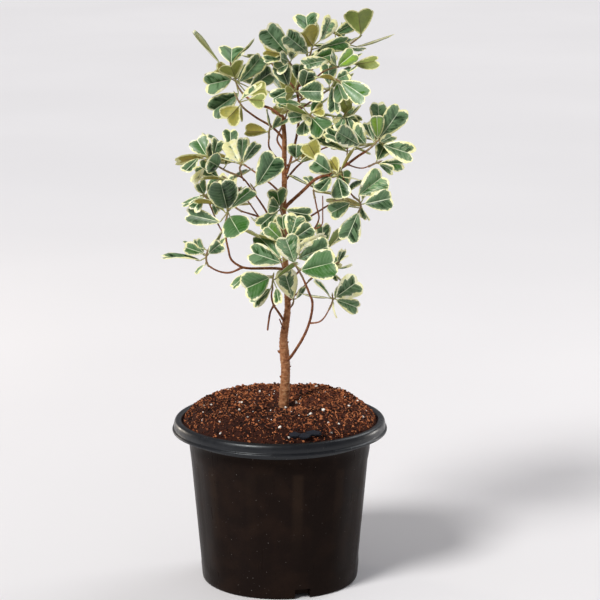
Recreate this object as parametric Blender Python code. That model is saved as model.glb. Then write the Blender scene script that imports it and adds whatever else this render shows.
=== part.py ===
"""Potted triangle fig: a variegated Ficus triangularis in a black nursery pot.

Lengths are written in millimetres and turned into metres when a mesh is made.
The origin is the middle of the pot's base, on the ground. +Z is up, +X is the
plant's right as it is usually looked at, and the viewer stands on the -Y side.

Stems and leaves are written as the viewer sees them: millimetres to the right
of the pot's axis, millimetres above the ground, and millimetres towards the
viewer. The point is carried along the viewer's line of sight, so that leaning
a twig forward or back does not change the outline of the plant.
"""

import math
import random

import bpy
from mathutils import Vector
from mathutils.bvhtree import BVHTree

MM = 0.001
GAP = 0.3
DEPTH_SPREAD = 1.8

# Viewer
EYE = Vector((20.5, -2345.8, 794.9))

# Pot: a 217 mm wide nursery pot, 167 mm tall
POT_SEGMENTS = 36
RIM_RADIUS = 108.5
RIM_TOP = 167.0
LIP_BOTTOM = 155.0
WALL_TOP = 144.0
WALL_TOP_RADIUS = 91.8
WALL_FOOT = 7.0
WALL_FOOT_RADIUS = 79.6
WALL_THICKNESS = 2.0
FLOOR_DISC_RADIUS = 48.0
CHANNEL_HEIGHT = 9.0
FLUTE_COUNT = 12
FLUTE_DEPTH = 0.9
FLUTE_TURN = math.radians(12)
FLUTE_TOP = 133.0
FLUTE_BOTTOM = 16.0
NOTCH_COUNT = 3
NOTCH_WIDTH = 16.0
NOTCH_HEIGHT = 10.0
NOTCH_FIRST_ANGLE = math.radians(-73)
DRAIN_HOLE_RADIUS = 5.0
DRAIN_HOLE_CIRCLE = 62.0

# Soil: fills the pot and is heaped above the rim
SOIL_SEGMENTS = 24
SOIL_EDGE_RADIUS = 97.7
SOIL_EDGE_HEIGHT = 163.3
SOIL_HEAP = 20.5
SOIL_HEAP_POWER = 8
SOIL_BUMP = 1.1
SOIL_DIP = 8.5
SOIL_DIP_SPREAD = 560.0
SOIL_SWELL = 3.0
SOIL_SWELL_PLACE = (50, 42)
SOIL_SWELL_SPREAD = 1100.0

# Trunk below the soil line
TRUNK_SIDES = 8
TRUNK_FOOT = (4, 125, 0)
TRUNK_FOOT_RADIUS = 5.0

# Leaves
BLADE_THICKNESS = 0.7
BLADE_CLEARANCE = 0.7
ROOT_FREE = 2.5
PETIOLE_WIDTH = 1.3
ROOT_WIDTH = 0.8
SHOOT_RADIUS = 1.3
SHOOT_TIP_RADIUS = 1.1
STEM_SIDES = 5
TWIG_SIDES = 5
SLIM_TWIG_SIDES = 4
SLIM_TWIG = 1.25
SMALLEST_PETIOLE = 4.0
LEAST_STRAIGHT = 0.35
PLAIN_WIDTH = 13.5
FOOT_SHARE = 0.14
FOOT_LEAN = 0.15
FOLDS = (5, 18)
ARCHES = (-0.07, 0.05)

# Blade: a wedge with a blunt end, a shallow notch and rounded corners
BLADE_FOOT_SHARE = 0.07
BLADE_SWELL = 0.95
BLADE_FULL = 0.82
CORNER_ROUND = 0.17
SEEN_WIDTH = 1.12
LOBE = 0.45
APEX_NOTCH = 0.07
APEX_CORNER = 0.17
APEX_CORNER_POWER = 2.2

# Leaves of the far side
FAR_SPREAD = 17.0
FAR_REACH = 26.0
FAR_PETIOLE = 5.0
FAR_FACE = Vector((0, 0.3, 1))
FAR_LENGTHS = (23, 31)
FAR_WIDTHS = (17, 23)
FAR_LIFTS = (-6, 10)
FAR_ARCHES = (-0.08, 0.05)
GOLDEN_ANGLE = math.radians(137.5)
GOLDEN_SHARE = 0.618

# Trunk line: right, up, towards the viewer, radius
TRUNK = [
    (4, 125, 0, 5.0),
    (4, 173, 0, 5.0),
    (4, 181, 0, 5.4),
    (5, 195, 0, 4.9),
    (6, 216, 0, 4.8),
    (5, 231, 0, 5.2),
    (4, 247, 0, 4.4),
    (6, 262, 0, 3.9),
    (8, 277, 0, 3.3),
    (8, 288, 0, 3.2),
    (7, 308, 0, 3.1),
    (6, 326, 0, 3.0),
    (5, 348, 0, 2.9),
    (4, 369, 0, 2.8),
    (5, 404, 0, 2.7),
    (5, 429, 0, 2.5),
    (5, 454, 0, 2.4),
    (3, 473, 0, 2.1),
]

# Leafless twigs: first radius, last radius, then right, up, towards
TWIGS = {
    "left_upper": (1.9, 1.2, [(3, 471, 0), (-8, 480, -4), (-22, 485, -9), (-34, 493, -13)]),
    "left_lower": (1.5, 1.1, [(4, 451, 0), (-7, 462, 1), (-22, 471, 5), (-33, 479, 8)]),
    "left_inner": (1.1, 1.0, [(5, 425, 0), (-4, 433, 5), (-10, 442, 10), (-10, 452, 13)]),
    "top": (1.7, 1.2, [(5, 410, 0), (8, 418, 2), (11, 428, 3), (15, 443, 2), (18, 458, 0),
                       (20, 480, -2), (18, 498, -2), (22, 510, 0), (24, 515, 1)]),
    "top_left": (1.1, 1.0, [(21, 507, 0), (19, 512, 5), (16, 518, 9)]),
    "top_right": (1.2, 1.1, [(20, 505, -1), (31, 517, -6), (39, 527, -9), (45, 533, -11)]),
    "upper_right": (1.2, 1.0, [(20, 503, -1), (29, 508, 7), (37, 511, 13), (45, 511, 18)]),
    "upper_right_spur": (1.0, 0.9, [(36, 510, 12), (40, 514, 11), (44, 517, 9)]),
    "mid_upper_spur": (0.9, 0.9, [(19, 490, -2), (22, 490, 3), (22, 492, 6)]),
    "mid_spur": (1.0, 0.9, [(19, 469, -1), (22, 472, 3), (24, 475, 6)]),
    "right": (2.2, 1.4, [(5, 381, 0), (10, 386, 4), (23, 398, 8), (36, 410, 12), (51, 416, 14),
                         (63, 422, 16), (78, 433, 18), (86, 438, 19)]),
    "right_side": (0.9, 0.7, [(67, 425, 17), (75, 422, 18), (82, 421, 19), (89, 423, 20)]),
    "right_riser": (0.9, 0.8, [(66, 424, 16), (67, 433, 15), (67, 443, 14), (66, 451, 13)]),
    "right_hanging": (1.0, 0.9, [(60, 421, 16), (64, 409, 19), (70, 397, 21), (74, 392, 21)]),
    "right_spur": (0.9, 0.9, [(47, 414, 14), (50, 413, 17), (53, 412, 19)]),
    "inner_right": (1.2, 0.8, [(6, 331, 0), (16, 340, 6), (30, 354, 9), (39, 369, 10),
                               (37, 382, 10), (35, 392, 10)]),
    "inner_right_fork": (0.8, 0.7, [(33, 359, 9), (42, 364, 12), (43, 377, 13), (43, 393, 13)]),
    "left_middle": (1.3, 0.9, [(4, 355, 0), (-8, 369, 8), (-15, 381, 14), (-23, 393, 18),
                               (-34, 409, 22), (-42, 414, 24)]),
    "left_middle_low": (1.1, 0.8, [(4, 345, 0), (-10, 362, 10), (-20, 372, 14), (-29, 385, 17),
                                   (-42, 402, 18)]),
    "left_rising_spur": (0.9, 0.8, [(-35, 409, 22), (-37, 413, 25), (-38, 417, 26)]),
    "left_near_spur": (0.9, 0.8, [(-24, 394, 18), (-24, 396, 20), (-24, 398, 21)]),
    "left_low": (1.8, 1.0, [(6, 319, 0), (-5, 320, 6), (-18, 320, 11), (-30, 320, 14),
                            (-39, 322, 16), (-48, 329, 18), (-51, 340, 19), (-53, 350, 19),
                            (-54, 364, 19)]),
    "left_far_low": (0.9, 0.8, [(-53, 351, 19), (-60, 363, 14), (-66, 377, 11), (-69, 385, 10)]),
    "left_bottom": (1.3, 0.9, [(-37, 321, 15), (-48, 316, 18), (-57, 316, 19), (-65, 319, 19),
                               (-71, 323, 19)]),
    "front": (1.9, 1.2, [(5, 225, 0), (11, 229, 4), (23, 248, 14), (30, 265, 20), (33, 283, 25),
                         (30, 294, 28), (23, 311, 32)]),
    "front_right": (1.0, 0.8, [(30, 264, 20), (39, 265, 22), (45, 270, 23), (50, 279, 23)]),
    "low_right": (1.1, 0.8, [(8, 285, 0), (14, 291, 4), (23, 300, 9), (30, 308, 12)]),
    "low_left": (1.5, 1.0, [(6, 264, 0), (-1, 275, 5), (-6, 283, 8), (-8, 292, 12), (-7, 299, 15)]),
    "low_left_stub": (1.2, 1.1, [(-5, 283, 8), (-9, 276, 9), (-11, 265, 9), (-12, 257, 9)]),
    "low_spur": (0.9, 0.8, [(8, 278, 0), (11, 280, 5), (13, 283, 7)]),
    "short_stub": (0.9, 0.8, [(5, 257, 1), (2, 263, 5), (0, 268, 6)]),
    "trunk_spur": (1.0, 0.9, [(4, 421, 0), (8, 424, 4), (11, 426, 7)]),
    "fork_spur": (1.0, 0.9, [(4, 367, 0), (4, 371, 4), (3, 375, 6)]),
    "back_upper": (1.2, 0.9, [(4, 439, 0), (-2, 449, -10), (2, 461, -22), (6, 471, -32)]),
    "back_right": (1.3, 0.9, [(5, 407, 0), (18, 423, -8), (36, 437, -18), (50, 443, -28)]),
    "back_left": (1.3, 0.9, [(5, 392, 0), (-8, 405, -10), (-24, 417, -22), (-34, 424, -30)]),
    "back_low": (1.3, 0.9, [(6, 307, 0), (3, 323, -12), (-2, 335, -24)]),
    "back_low_right": (1.3, 0.9, [(7, 299, 0), (16, 313, -10), (28, 325, -20), (34, 329, -25)]),
    "back_crown_left": (1.2, 1.0, [(18, 496, -2), (9, 508, -10), (-1, 518, -18)]),
    "back_crown_right": (1.2, 1.0, [(20, 479, -2), (31, 487, -10), (41, 494, -18)]),
    "back_mid_left": (1.3, 1.0, [(4, 361, 0), (-14, 370, -9), (-38, 378, -18)]),
    "back_mid_right": (1.3, 1.0, [(4, 353, 0), (24, 368, -9), (52, 386, -19)]),
}

# Leafy shoots: the twig that each grows on, its path, how many leaves stand behind it,
# and the leaves towards the viewer. A leaf is the foot of its blade (right, up), its
# tip (right, up), how far the tip comes towards the viewer, its width, and its turn
# about its midrib in degrees: 0 shows the upper side, 180 the underside. Some leaves
# end with their fold along the midrib, also in degrees.
SHOOTS = {
    "shoot_left_crown": ("left_upper", [(-41, 503, -14), (-44, 514, -13), (-47, 523, -12)], 3, [
        (-58, 525, -85, 556, -6, 20, 75),
        (-47, 525, -46, 541, -20, 26, 0),
        (-41, 502, -48, 524, 16, 25, 180),
        (-47, 510, -63, 520, -6, 18, 155),
        (-43, 498, -74, 503, 4, 24, 0, 26),
        (-40, 495, -68, 476, 8, 24, 0, 24),
        (-39, 507, -17, 533, 2, 20, 30),
        (-32, 497, -28, 515, -16, 20, 0),
        (-29, 501, -6, 517, -6, 18, 20),
        (-38, 535, -24, 549, -8, 14, 80),
        (-32, 496, -12, 500, 6, 17, 175),
    ]),
    "shoot_left_crown_low": ("left_lower", [(-36, 482, 9), (-40, 488, 9), (-43, 494, 8)], 1, [
        (-37, 484, -53, 468, 6, 22, 180),
        (-30, 489, -14, 488, 8, 16, 165),
        (-27, 473, -36, 467, 4, 12, 100),
    ]),
    "shoot_inner_left": ("left_inner", [(-10, 457, 14), (-9, 462, 15)], 1, [
        (-12, 457, -34, 458, 4, 17, 140),
        (-9, 461, -13, 480, 0, 12, 80),
        (-7, 460, 0, 473, -4, 12, 60),
    ]),
    "shoot_crown_top": ("top", [(26, 524, 2), (31, 535, 3), (32, 545, 3), (29, 553, 2)], 4, [
        (28, 556, 26, 573, -20, 25, 0),
        (33, 542, 22, 557, 20, 30, 180, 3),
        (28, 535, 5, 554, 14, 19, 25),
        (40, 547, 52, 570, 2, 17, 25),
        (39, 540, 69, 547, 2, 17, 30),
        (33, 528, 56, 535, 8, 16, 20),
        (25, 523, 46, 529, 16, 13, 60),
        (30, 525, 20, 542, 12, 12, 95),
    ]),
    "shoot_crown_left": ("top_left", [(13, 522, 12), (8, 529, 14), (5, 536, 15)], 2, [
        (8, 534, -15, 561, 2, 24, 0),
        (8, 535, -3, 555, -6, 15, 125),
        (5, 532, -16, 538, -4, 18, 150),
        (2, 528, -16, 528, -2, 14, 60),
        (19, 527, 0, 531, 12, 14, 30),
        (13, 521, -4, 518, 6, 14, 20),
    ]),
    "shoot_crown_right": ("top_right", [(52, 538, -12), (62, 539, -13), (70, 544, -13), (78, 550, -12)], 2, [
        (55, 554, 73, 564, 0, 14, 30),
        (80, 553, 77, 577, 8, 28, 180),
        (76, 541, 111, 553, -4, 18, 84),
        (60, 545, 62, 563, -8, 12, 60),
        (64, 542, 84, 538, -6, 12, 70),
    ]),
    "shoot_upper_right": ("upper_right", [(52, 510, 20), (58, 508, 21), (62, 504, 22)], 2, [
        (61, 507, 87, 490, 6, 20, 0),
        (46, 506, 64, 487, 4, 18, 30),
        (51, 512, 69, 515, 10, 14, 20),
        (52, 502, 55, 475, -2, 14, 30),
        (60, 498, 69, 477, -4, 13, 160),
    ]),
    "shoot_trunk_side": ("trunk_spur", [(15, 428, 10), (18, 430, 12)], 1, [
        (9, 429, 17, 446, 4, 19, 10),
        (22, 430, 31, 444, 0, 14, 165),
        (21, 427, 34, 433, 8, 12, 60),
    ]),
    "shoot_upper_right_tip": ("upper_right_spur", [(52, 520, 8), (61, 522, 7), (69, 524, 6)], 1, [
        (58, 522, 75, 536, 6, 16, 0),
        (74, 524, 98, 528, -2, 16, 145),
        (50, 516, 51, 535, -4, 12, 60),
        (48, 528, 22, 522, 10, 15, 30),
    ]),
    "shoot_mid_upper": ("mid_upper_spur", [(19, 495, 8), (13, 499, 10), (9, 502, 11)], 1, [
        (9, 503, 0, 525, -4, 18, 0),
        (10, 499, -8, 489, 4, 15, 20),
        (19, 508, 20, 525, 2, 16, 20),
        (24, 501, 29, 519, -8, 18, 10),
        (26, 489, 44, 497, 10, 20, 0),
        (18, 487, 6, 495, 10, 14, 170),
        (9, 497, 3, 479, 2, 15, 160),
    ]),
    "shoot_mid": ("mid_spur", [(28, 475, 10), (33, 472, 13)], 2, [
        (27, 474, 46, 456, 10, 24, 0),
        (20, 480, 24, 467, 14, 13, 0),
        (18, 481, 8, 471, 12, 14, 10),
        (22, 484, -4, 485, 6, 13, 40),
        (25, 468, 24, 453, 4, 15, 25),
        (33, 476, 44, 481, 6, 14, 160),
    ]),
    "shoot_right_riser": ("right_riser", [(65, 459, 13), (62, 468, 13), (66, 477, 13)], 2, [
        (77, 485, 80, 467, -4, 12, 40),
        (62, 475, 77, 471, 6, 12, 60),
        (56, 473, 58, 457, 6, 12, 10),
        (46, 470, 54, 464, 8, 10, 150),
        (66, 473, 72, 455, 4, 14, 20),
        (62, 467, 44, 449, 2, 13, 30),
    ]),
    "shoot_right_tip": ("right", [(92, 443, 19), (97, 448, 19), (101, 453, 19)], 3, [
        (99, 451, 121, 482, -4, 22, 10),
        (100, 453, 97, 487, -8, 18, 25),
        (97, 451, 96, 474, 6, 14, 0),
        (103, 444, 134, 434, 8, 20, 0),
        (100, 447, 113, 454, 12, 12, 40),
        (86, 443, 86, 467, -8, 14, 35),
        (85, 445, 70, 463, 2, 19, 0),
        (79, 444, 56, 458, 8, 20, 10),
        (76, 443, 44, 457, 0, 15, 40),
        (66, 438, 31, 454, -8, 13, 60),
    ]),
    "shoot_right_side": ("right_side", [(93, 425, 20), (98, 427, 20)], 1, [
        (94, 435, 124, 425, 0, 15, 30),
        (93, 428, 113, 417, 2, 15, 55),
    ]),
    "shoot_right_hanging": ("right_hanging", [(79, 388, 21), (81, 383, 21), (79, 378, 21)], 2, [
        (79, 394, 104, 414, -6, 26, 0, 22),
        (79, 390, 112, 391, 4, 21, 10),
        (70, 386, 49, 375, 8, 17, 0),
        (78, 376, 66, 347, 6, 21, 0),
        (62, 390, 49, 388, 2, 11, 60),
        (74, 381, 88, 369, -6, 13, 60),
    ]),
    "shoot_right_near": ("right_spur", [(56, 413, 23), (60, 415, 26)], 1, [
        (51, 417, 32, 430, 8, 20, 0),
        (51, 412, 38, 397, 2, 15, 30),
        (58, 411, 63, 390, 12, 20, 0, 22),
        (63, 412, 80, 409, 0, 9, 85),
        (62, 421, 50, 431, -8, 13, 165),
        (38, 429, 28, 447, 0, 19, 175),
    ]),
    "shoot_inner_right": ("inner_right", [(34, 398, 10), (36, 403, 10)], 2, [
        (34, 399, 27, 413, -4, 12, 40),
    ]),
    "shoot_left_far": ("left_middle", [(-52, 418, 24), (-62, 424, 22), (-70, 431, 21)], 3, [
        (-72, 433, -103, 427, 4, 18, 120),
        (-72, 434, -82, 451, -12, 20, 0),
        (-65, 434, -60, 450, -12, 15, 20),
        (-80, 431, -94, 417, 0, 14, 40),
        (-44, 414, -72, 430, 12, 23, 0, 24),
        (-74, 421, -86, 406, 0, 10, 30),
        (-66, 428, -71, 444, -4, 13, 60),
    ]),
    "shoot_left_rising": ("left_rising_spur", [(-39, 421, 27), (-37, 427, 26)], 2, [
        (-42, 421, -50, 448, -6, 18, 20),
        (-40, 421, -36, 452, 0, 15, 30),
        (-33, 417, -21, 447, 2, 14, 35),
    ]),
    "shoot_left_near": ("left_near_spur", [(-25, 400, 22), (-27, 403, 23)], 1, [
        (-22, 404, -2, 435, 4, 25, 0),
    ]),
    "shoot_left_inner": ("left_middle_low", [(-47, 407, 17), (-53, 411, 15)], 2, [
        (-60, 411, -81, 425, -4, 17, 20),
        (-45, 401, -54, 393, 2, 10, 60),
    ]),
    "shoot_left_low": ("left_low", [(-52, 373, 19), (-51, 381, 18), (-54, 388, 17)], 2, [
        (-52, 381, -59, 411, 6, 30, 0, 20),
        (-45, 374, -26, 400, 4, 16, 35),
        (-59, 367, -93, 375, 6, 16, 35),
        (-54, 370, -64, 383, 0, 10, 100),
        (-49, 372, -38, 353, 16, 29, 0),
    ]),
    "shoot_left_far_low": ("left_far_low", [(-72, 391, 10), (-76, 396, 10)], 1, [
        (-66, 394, -80, 408, 0, 16, 40),
        (-70, 390, -97, 384, 0, 13, 65),
        (-70, 389, -86, 378, 6, 14, 20),
        (-66, 387, -60, 376, 4, 11, 40),
    ]),
    "shoot_fork": ("fork_spur", [(1, 379, 8), (2, 383, 9)], 0, [
        (0, 378, -3, 401, -4, 20, 0),
        (7, 379, 33, 374, 10, 16, 30),
        (-3, 366, -12, 384, 4, 17, 10),
        (-3, 364, -21, 361, 8, 14, 20),
    ]),
    "shoot_left_bottom": ("left_bottom", [(-73, 329, 19), (-72, 336, 19), (-69, 342, 18)], 2, [
        (-79, 328, -118, 331, 2, 15, 70),
        (-74, 326, -95, 342, 2, 14, 25),
        (-76, 334, -83, 350, -4, 12, 45),
        (-73, 343, -58, 358, 0, 11, 75),
        (-66, 326, -57, 346, 4, 15, 15),
        (-74, 324, -84, 314, 2, 8, 60),
    ]),
    "shoot_front": ("front", [(18, 320, 35), (14, 327, 36), (12, 336, 36), (9, 346, 34),
                              (5, 354, 31)], 2, [
        (22, 318, 58, 327, 10, 29, 0),
        (19, 330, 51, 343, 2, 23, 10),
        (15, 326, 5, 354, 10, 23, 0),
        (1, 326, -31, 337, 4, 21, 10),
        (1, 330, -22, 354, 0, 19, 15),
        (3, 348, -13, 364, 4, 16, 0),
        (4, 359, 3, 375, -4, 14, 15),
        (11, 352, 18, 375, -2, 20, 0),
        (14, 350, 33, 363, 4, 17, 10),
        (24, 346, 46, 355, 2, 12, 50),
        (19, 343, 32, 349, 10, 10, 40),
    ]),
    "shoot_low_left": ("low_left", [(-7, 306, 18), (-6, 313, 21)], 2, [
        (-4, 317, -37, 298, 10, 29, 0, 20),
        (-9, 299, -28, 283, 4, 16, 35),
        (-34, 315, -48, 300, 0, 12, 50),
        (-3, 300, 0, 283, 4, 10, 20),
    ]),
    "shoot_low_middle": ("low_spur", [(14, 286, 8), (14, 289, 9)], 0, [
        (13, 289, 4, 320, 10, 21, 0),
        (17, 289, 24, 302, -4, 11, 60),
    ]),
    "shoot_low_right": ("low_right", [(40, 316, 14), (50, 321, 15), (57, 325, 15)], 2, [
        (57, 320, 73, 324, 2, 9, 75),
        (58, 326, 64, 340, 0, 11, 50),
        (50, 318, 60, 307, -4, 12, 60),
        (46, 323, 50, 342, -8, 14, 60),
    ]),
    "shoot_front_right": ("front_right", [(53, 286, 24), (53, 291, 24)], 2, [
        (54, 285, 80, 308, 6, 24, 0),
        (53, 280, 80, 279, 4, 16, 25),
        (50, 287, 34, 308, 0, 12, 70),
        (44, 278, 58, 269, 4, 10, 80),
    ]),
    "shoot_back_upper": ("back_upper", [(9, 479, -36), (10, 486, -40), (8, 493, -43)], 7, []),
    "shoot_back_right": ("back_right", [(58, 446, -33), (66, 449, -37), (73, 454, -39)], 7, []),
    "shoot_back_left": ("back_left", [(-41, 428, -35), (-48, 433, -39), (-55, 439, -41)], 7, []),
    "shoot_back_low": ("back_low", [(-5, 343, -31), (-7, 350, -36), (-8, 358, -38)], 7, []),
    "shoot_back_low_right": ("back_low_right", [(41, 333, -30), (46, 339, -34)], 6, []),
    "shoot_back_crown_left": ("back_crown_left", [(-6, 523, -22), (-10, 529, -25)], 6, []),
    "shoot_back_crown_right": ("back_crown_right", [(46, 497, -22), (52, 501, -25)], 6, []),
    "shoot_back_mid_left": ("back_mid_left", [(-47, 384, -23), (-54, 390, -25)], 6, []),
    "shoot_back_mid_right": ("back_mid_right", [(60, 391, -24), (68, 397, -26)], 6, []),
}

# Turns that a leaf tries, in order, until it is clear of its neighbours:
# more towards the viewer in millimetres, more turn in degrees, and its length
LEAF_TRIES = [
    (move, turn, length)
    for length in (1.0, 0.85, 0.7)
    for turn in (0, 20, -20, 40, -40)
    for move in (0, 4, -4, 8, -8, 13, -13, 18, -18, 24, -24)
]


def seen(right, up, towards):
    """The point that the viewer sees right and up of the axis, leaning forward."""
    flat = Vector((right, 0.0, up))
    return flat + (EYE - flat) * (towards / -EYE.y)


def twig_point(right, up, towards):
    """A point of a twig: the crown is nearly as deep as it is wide."""
    return seen(right, up, towards * DEPTH_SPREAD)


def clear_scene():
    for old in list(bpy.data.objects):
        bpy.data.objects.remove(old, do_unlink=True)


def make_material(name, colour, roughness):
    material = bpy.data.materials.new(name)
    material.use_nodes = True
    shader = material.node_tree.nodes["Principled BSDF"]
    shader.inputs["Base Color"].default_value = (*colour, 1.0)
    shader.inputs["Roughness"].default_value = roughness
    shader.inputs["Metallic"].default_value = 0.0
    return material


def make_object(name, points, faces, material):
    mesh = bpy.data.meshes.new(name)
    mesh.from_pydata([Vector(point) * MM for point in points], [], faces)
    mesh.update()
    if material:
        mesh.materials.append(material)
    made = bpy.data.objects.new(name, mesh)
    bpy.context.scene.collection.objects.link(made)
    return made


def join_all(name, base, others):
    """Fuses the objects into the base by one Boolean union, and removes them."""
    bunch = bpy.data.collections.new(name + "_pieces")
    bpy.context.scene.collection.children.link(bunch)
    for other in others:
        bpy.context.scene.collection.objects.unlink(other)
        bunch.objects.link(other)
    union = base.modifiers.new("union", "BOOLEAN")
    union.operation = "UNION"
    union.operand_type = "COLLECTION"
    union.collection = bunch
    union.solver = "EXACT"
    graph = bpy.context.evaluated_depsgraph_get()
    fused = bpy.data.meshes.new_from_object(base.evaluated_get(graph))
    base.modifiers.remove(union)
    base.data = fused
    fused.name = name
    for other in others:
        bpy.data.objects.remove(other, do_unlink=True)
    bpy.data.collections.remove(bunch)


def tube_mesh(path, radii, sides, first_way=None):
    """A closed round stem through the path, with flat ends."""
    count = len(path)
    points = []
    previous = None
    for index in range(count):
        way = (path[min(index + 1, count - 1)] - path[max(index - 1, 0)]).normalized()
        if index == 0 and first_way is not None:
            way = first_way
        if previous is None:
            guide = Vector((0, 1, 0)) if abs(way.y) < 0.8 else Vector((1, 0, 0))
            across = way.cross(guide).normalized()
        else:
            across = (previous - way * previous.dot(way)).normalized()
        previous = across
        upright = way.cross(across)
        for side in range(sides):
            angle = math.tau * side / sides
            spoke = across * math.cos(angle) + upright * math.sin(angle)
            points.append(path[index] + spoke * radii[index])
    faces = [list(range(sides))[::-1]]
    for ring in range(count - 1):
        for side in range(sides):
            here = ring * sides + side
            there = ring * sides + (side + 1) % sides
            faces.append([here, there, there + sides, here + sides])
    faces.append([(count - 1) * sides + side for side in range(sides)])
    return points, faces


def twig_sides(name):
    return TWIG_SIDES if TWIGS[name][0] > SLIM_TWIG else SLIM_TWIG_SIDES


def twig_line(name):
    """The smooth line of a twig and its radius at each point."""
    first, last, route = TWIGS[name]
    path = [twig_point(*point) for point in route]
    steps = len(path) - 1
    radii = [first + (last - first) * index / steps for index in range(steps + 1)]
    return path, radii


def shoot_line(name):
    """The green stem of a shoot: it starts a gap beyond the end of its twig."""
    twig, route, _behind, _leaves = SHOOTS[name]
    twig_path, _twig_radii = twig_line(twig)
    way = (twig_path[-1] - twig_path[-2]).normalized()
    start = twig_path[-1] + way * GAP
    path = [start] + [twig_point(*point) for point in route]
    steps = len(path) - 1
    thinner = SHOOT_TIP_RADIUS - SHOOT_RADIUS
    radii = [SHOOT_RADIUS + thinner * index / steps for index in range(steps + 1)]
    return path, radii, way


class Leaf:
    """Where one leaf stands: its stem point, the foot and tip of its blade, its faces."""

    def __init__(self, stem, foot, tip, width, turn, towards_face, fold, arch, plain):
        self.plain = plain
        self.stem = stem
        self.foot = foot
        self.along = tip - foot
        self.length = self.along.length
        self.along = self.along / self.length
        upper = (towards_face - self.along * towards_face.dot(self.along)).normalized()
        across = self.along.cross(upper)
        self.upper = upper * math.cos(turn) + across * math.sin(turn)
        self.across = self.along.cross(self.upper)
        self.width = width
        self.fold = fold
        self.arch = arch


def apex_line(aside):
    """How far up the blade its end reaches, from the notch (0) to the corner (1)."""
    if aside < LOBE:
        return 1.0 - APEX_NOTCH * (1.0 - aside / LOBE) ** 2
    return 1.0 - APEX_CORNER * ((aside - LOBE) / (1.0 - LOBE)) ** APEX_CORNER_POWER


def half_width(along):
    """Half the width of the wedge-shaped blade, as a share of its greatest."""
    swell = math.sin(0.5 * math.pi * min(along / BLADE_FULL, 1.0)) ** BLADE_SWELL
    return BLADE_FOOT_SHARE + (1.0 - BLADE_FOOT_SHARE) * swell


def blade_point(leaf, along, aside):
    """A point of the blade: along from foot (0) to end (1), aside from -1 to 1."""
    corner = abs(aside) * along ** 2
    reach = along * apex_line(corner)
    out = half_width(along) * leaf.width * 0.5 * abs(aside) * (1.0 - CORNER_ROUND * corner ** 3)
    side = math.copysign(1.0, aside) if aside else 0.0
    rise = leaf.arch * leaf.length * 4.0 * reach * (1.0 - reach)
    point = leaf.foot + leaf.along * (leaf.length * reach) + leaf.upper * rise
    fold = leaf.across * (math.cos(leaf.fold) * side) + leaf.upper * math.sin(leaf.fold)
    return point + fold * out


def blade_mesh(leaf, thickness, grown_free=0.0):
    """A thin closed blade with its petiole, split into triangles alike on both faces.

    grown_free leaves out the first millimetres at the stem, where a leaf may touch others.
    """
    half_stalk = leaf.across * (PETIOLE_WIDTH * 0.5)
    half_root = leaf.across * (ROOT_WIDTH * 0.5)
    petiole = leaf.foot - leaf.stem
    if leaf.plain:
        rim = [(1.0, -0.82), (1.0, 0.0), (1.0, 0.82)]
        triangles = [(0, 3, 2), (0, 1, 3), (1, 4, 3)]
        edge = [0, 2, 3, 4, 1]
    else:
        rim = [(0.5, -1.0), (1.0, -0.82), (1.0, 0.0), (1.0, 0.82), (0.5, 1.0), (0.5, 0.0)]
        triangles = [(0, 7, 2), (0, 1, 7), (7, 1, 6), (2, 4, 3), (2, 7, 4), (7, 6, 4), (4, 6, 5)]
        edge = [0, 2, 3, 4, 5, 6, 1]
    surface = [leaf.foot - half_stalk, leaf.foot + half_stalk]
    surface = surface + [blade_point(leaf, along, aside) for along, aside in rim]
    normals = [leaf.upper] * len(surface)
    if petiole.length > SMALLEST_PETIOLE:
        way = petiole.normalized()
        lift = way.cross(leaf.across)
        if lift.dot(leaf.upper) < 0:
            lift = -lift
        if lift.length < 0.3:
            lift = leaf.upper
        lift = lift.normalized()
        start = leaf.stem + way * grown_free
        last = len(surface)
        surface = surface + [start - half_root, start + half_root]
        normals = normals + [lift, lift]
        triangles = triangles + [(last, 1, 0), (last, last + 1, 1)]
        edge = edge + [last + 1, last]
    else:
        start = leaf.foot + leaf.along * grown_free if grown_free else leaf.stem
        surface[0] = start - half_root
        surface[1] = start + half_root
    count = len(surface)
    half = thickness * 0.5
    points = [point + normal * half for point, normal in zip(surface, normals)]
    points = points + [point - normal * half for point, normal in zip(surface, normals)]
    faces = [list(face) for face in triangles]
    faces = faces + [[corner + count for corner in reversed(face)] for face in triangles]
    for index, start in enumerate(edge):
        end = edge[(index + 1) % len(edge)]
        faces.append([start, end, end + count])
        faces.append([start, end + count, start + count])
    return points, faces


def closest_root(path, foot, tip, number):
    """The stem point that a leaf grows from: near its foot, and not doubling back.

    Each leaf of a shoot has its own place between the path's points.
    """
    spots = []
    for step in range(len(path) - 1):
        share = 0.25 + 0.5 * ((number * GOLDEN_SHARE + 0.3 * step) % 1.0)
        spots.append(path[step].lerp(path[step + 1], share))
    share = 0.25 + 0.5 * ((number * GOLDEN_SHARE + 0.3 * (len(path) - 1)) % 1.0)
    spots.append(path[-1].lerp(path[-2], 0.04 + 0.12 * share))
    blade = (tip - foot).normalized()
    best = None
    for spot in spots[1:]:
        stalk = foot - spot
        bend = 1.0 - stalk.normalized().dot(blade) if stalk.length > 0.5 else 1.0
        cost = stalk.length + 6.0 * bend
        if best is None or cost < best[0]:
            best = (cost, spot)
    return best[1]


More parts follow.
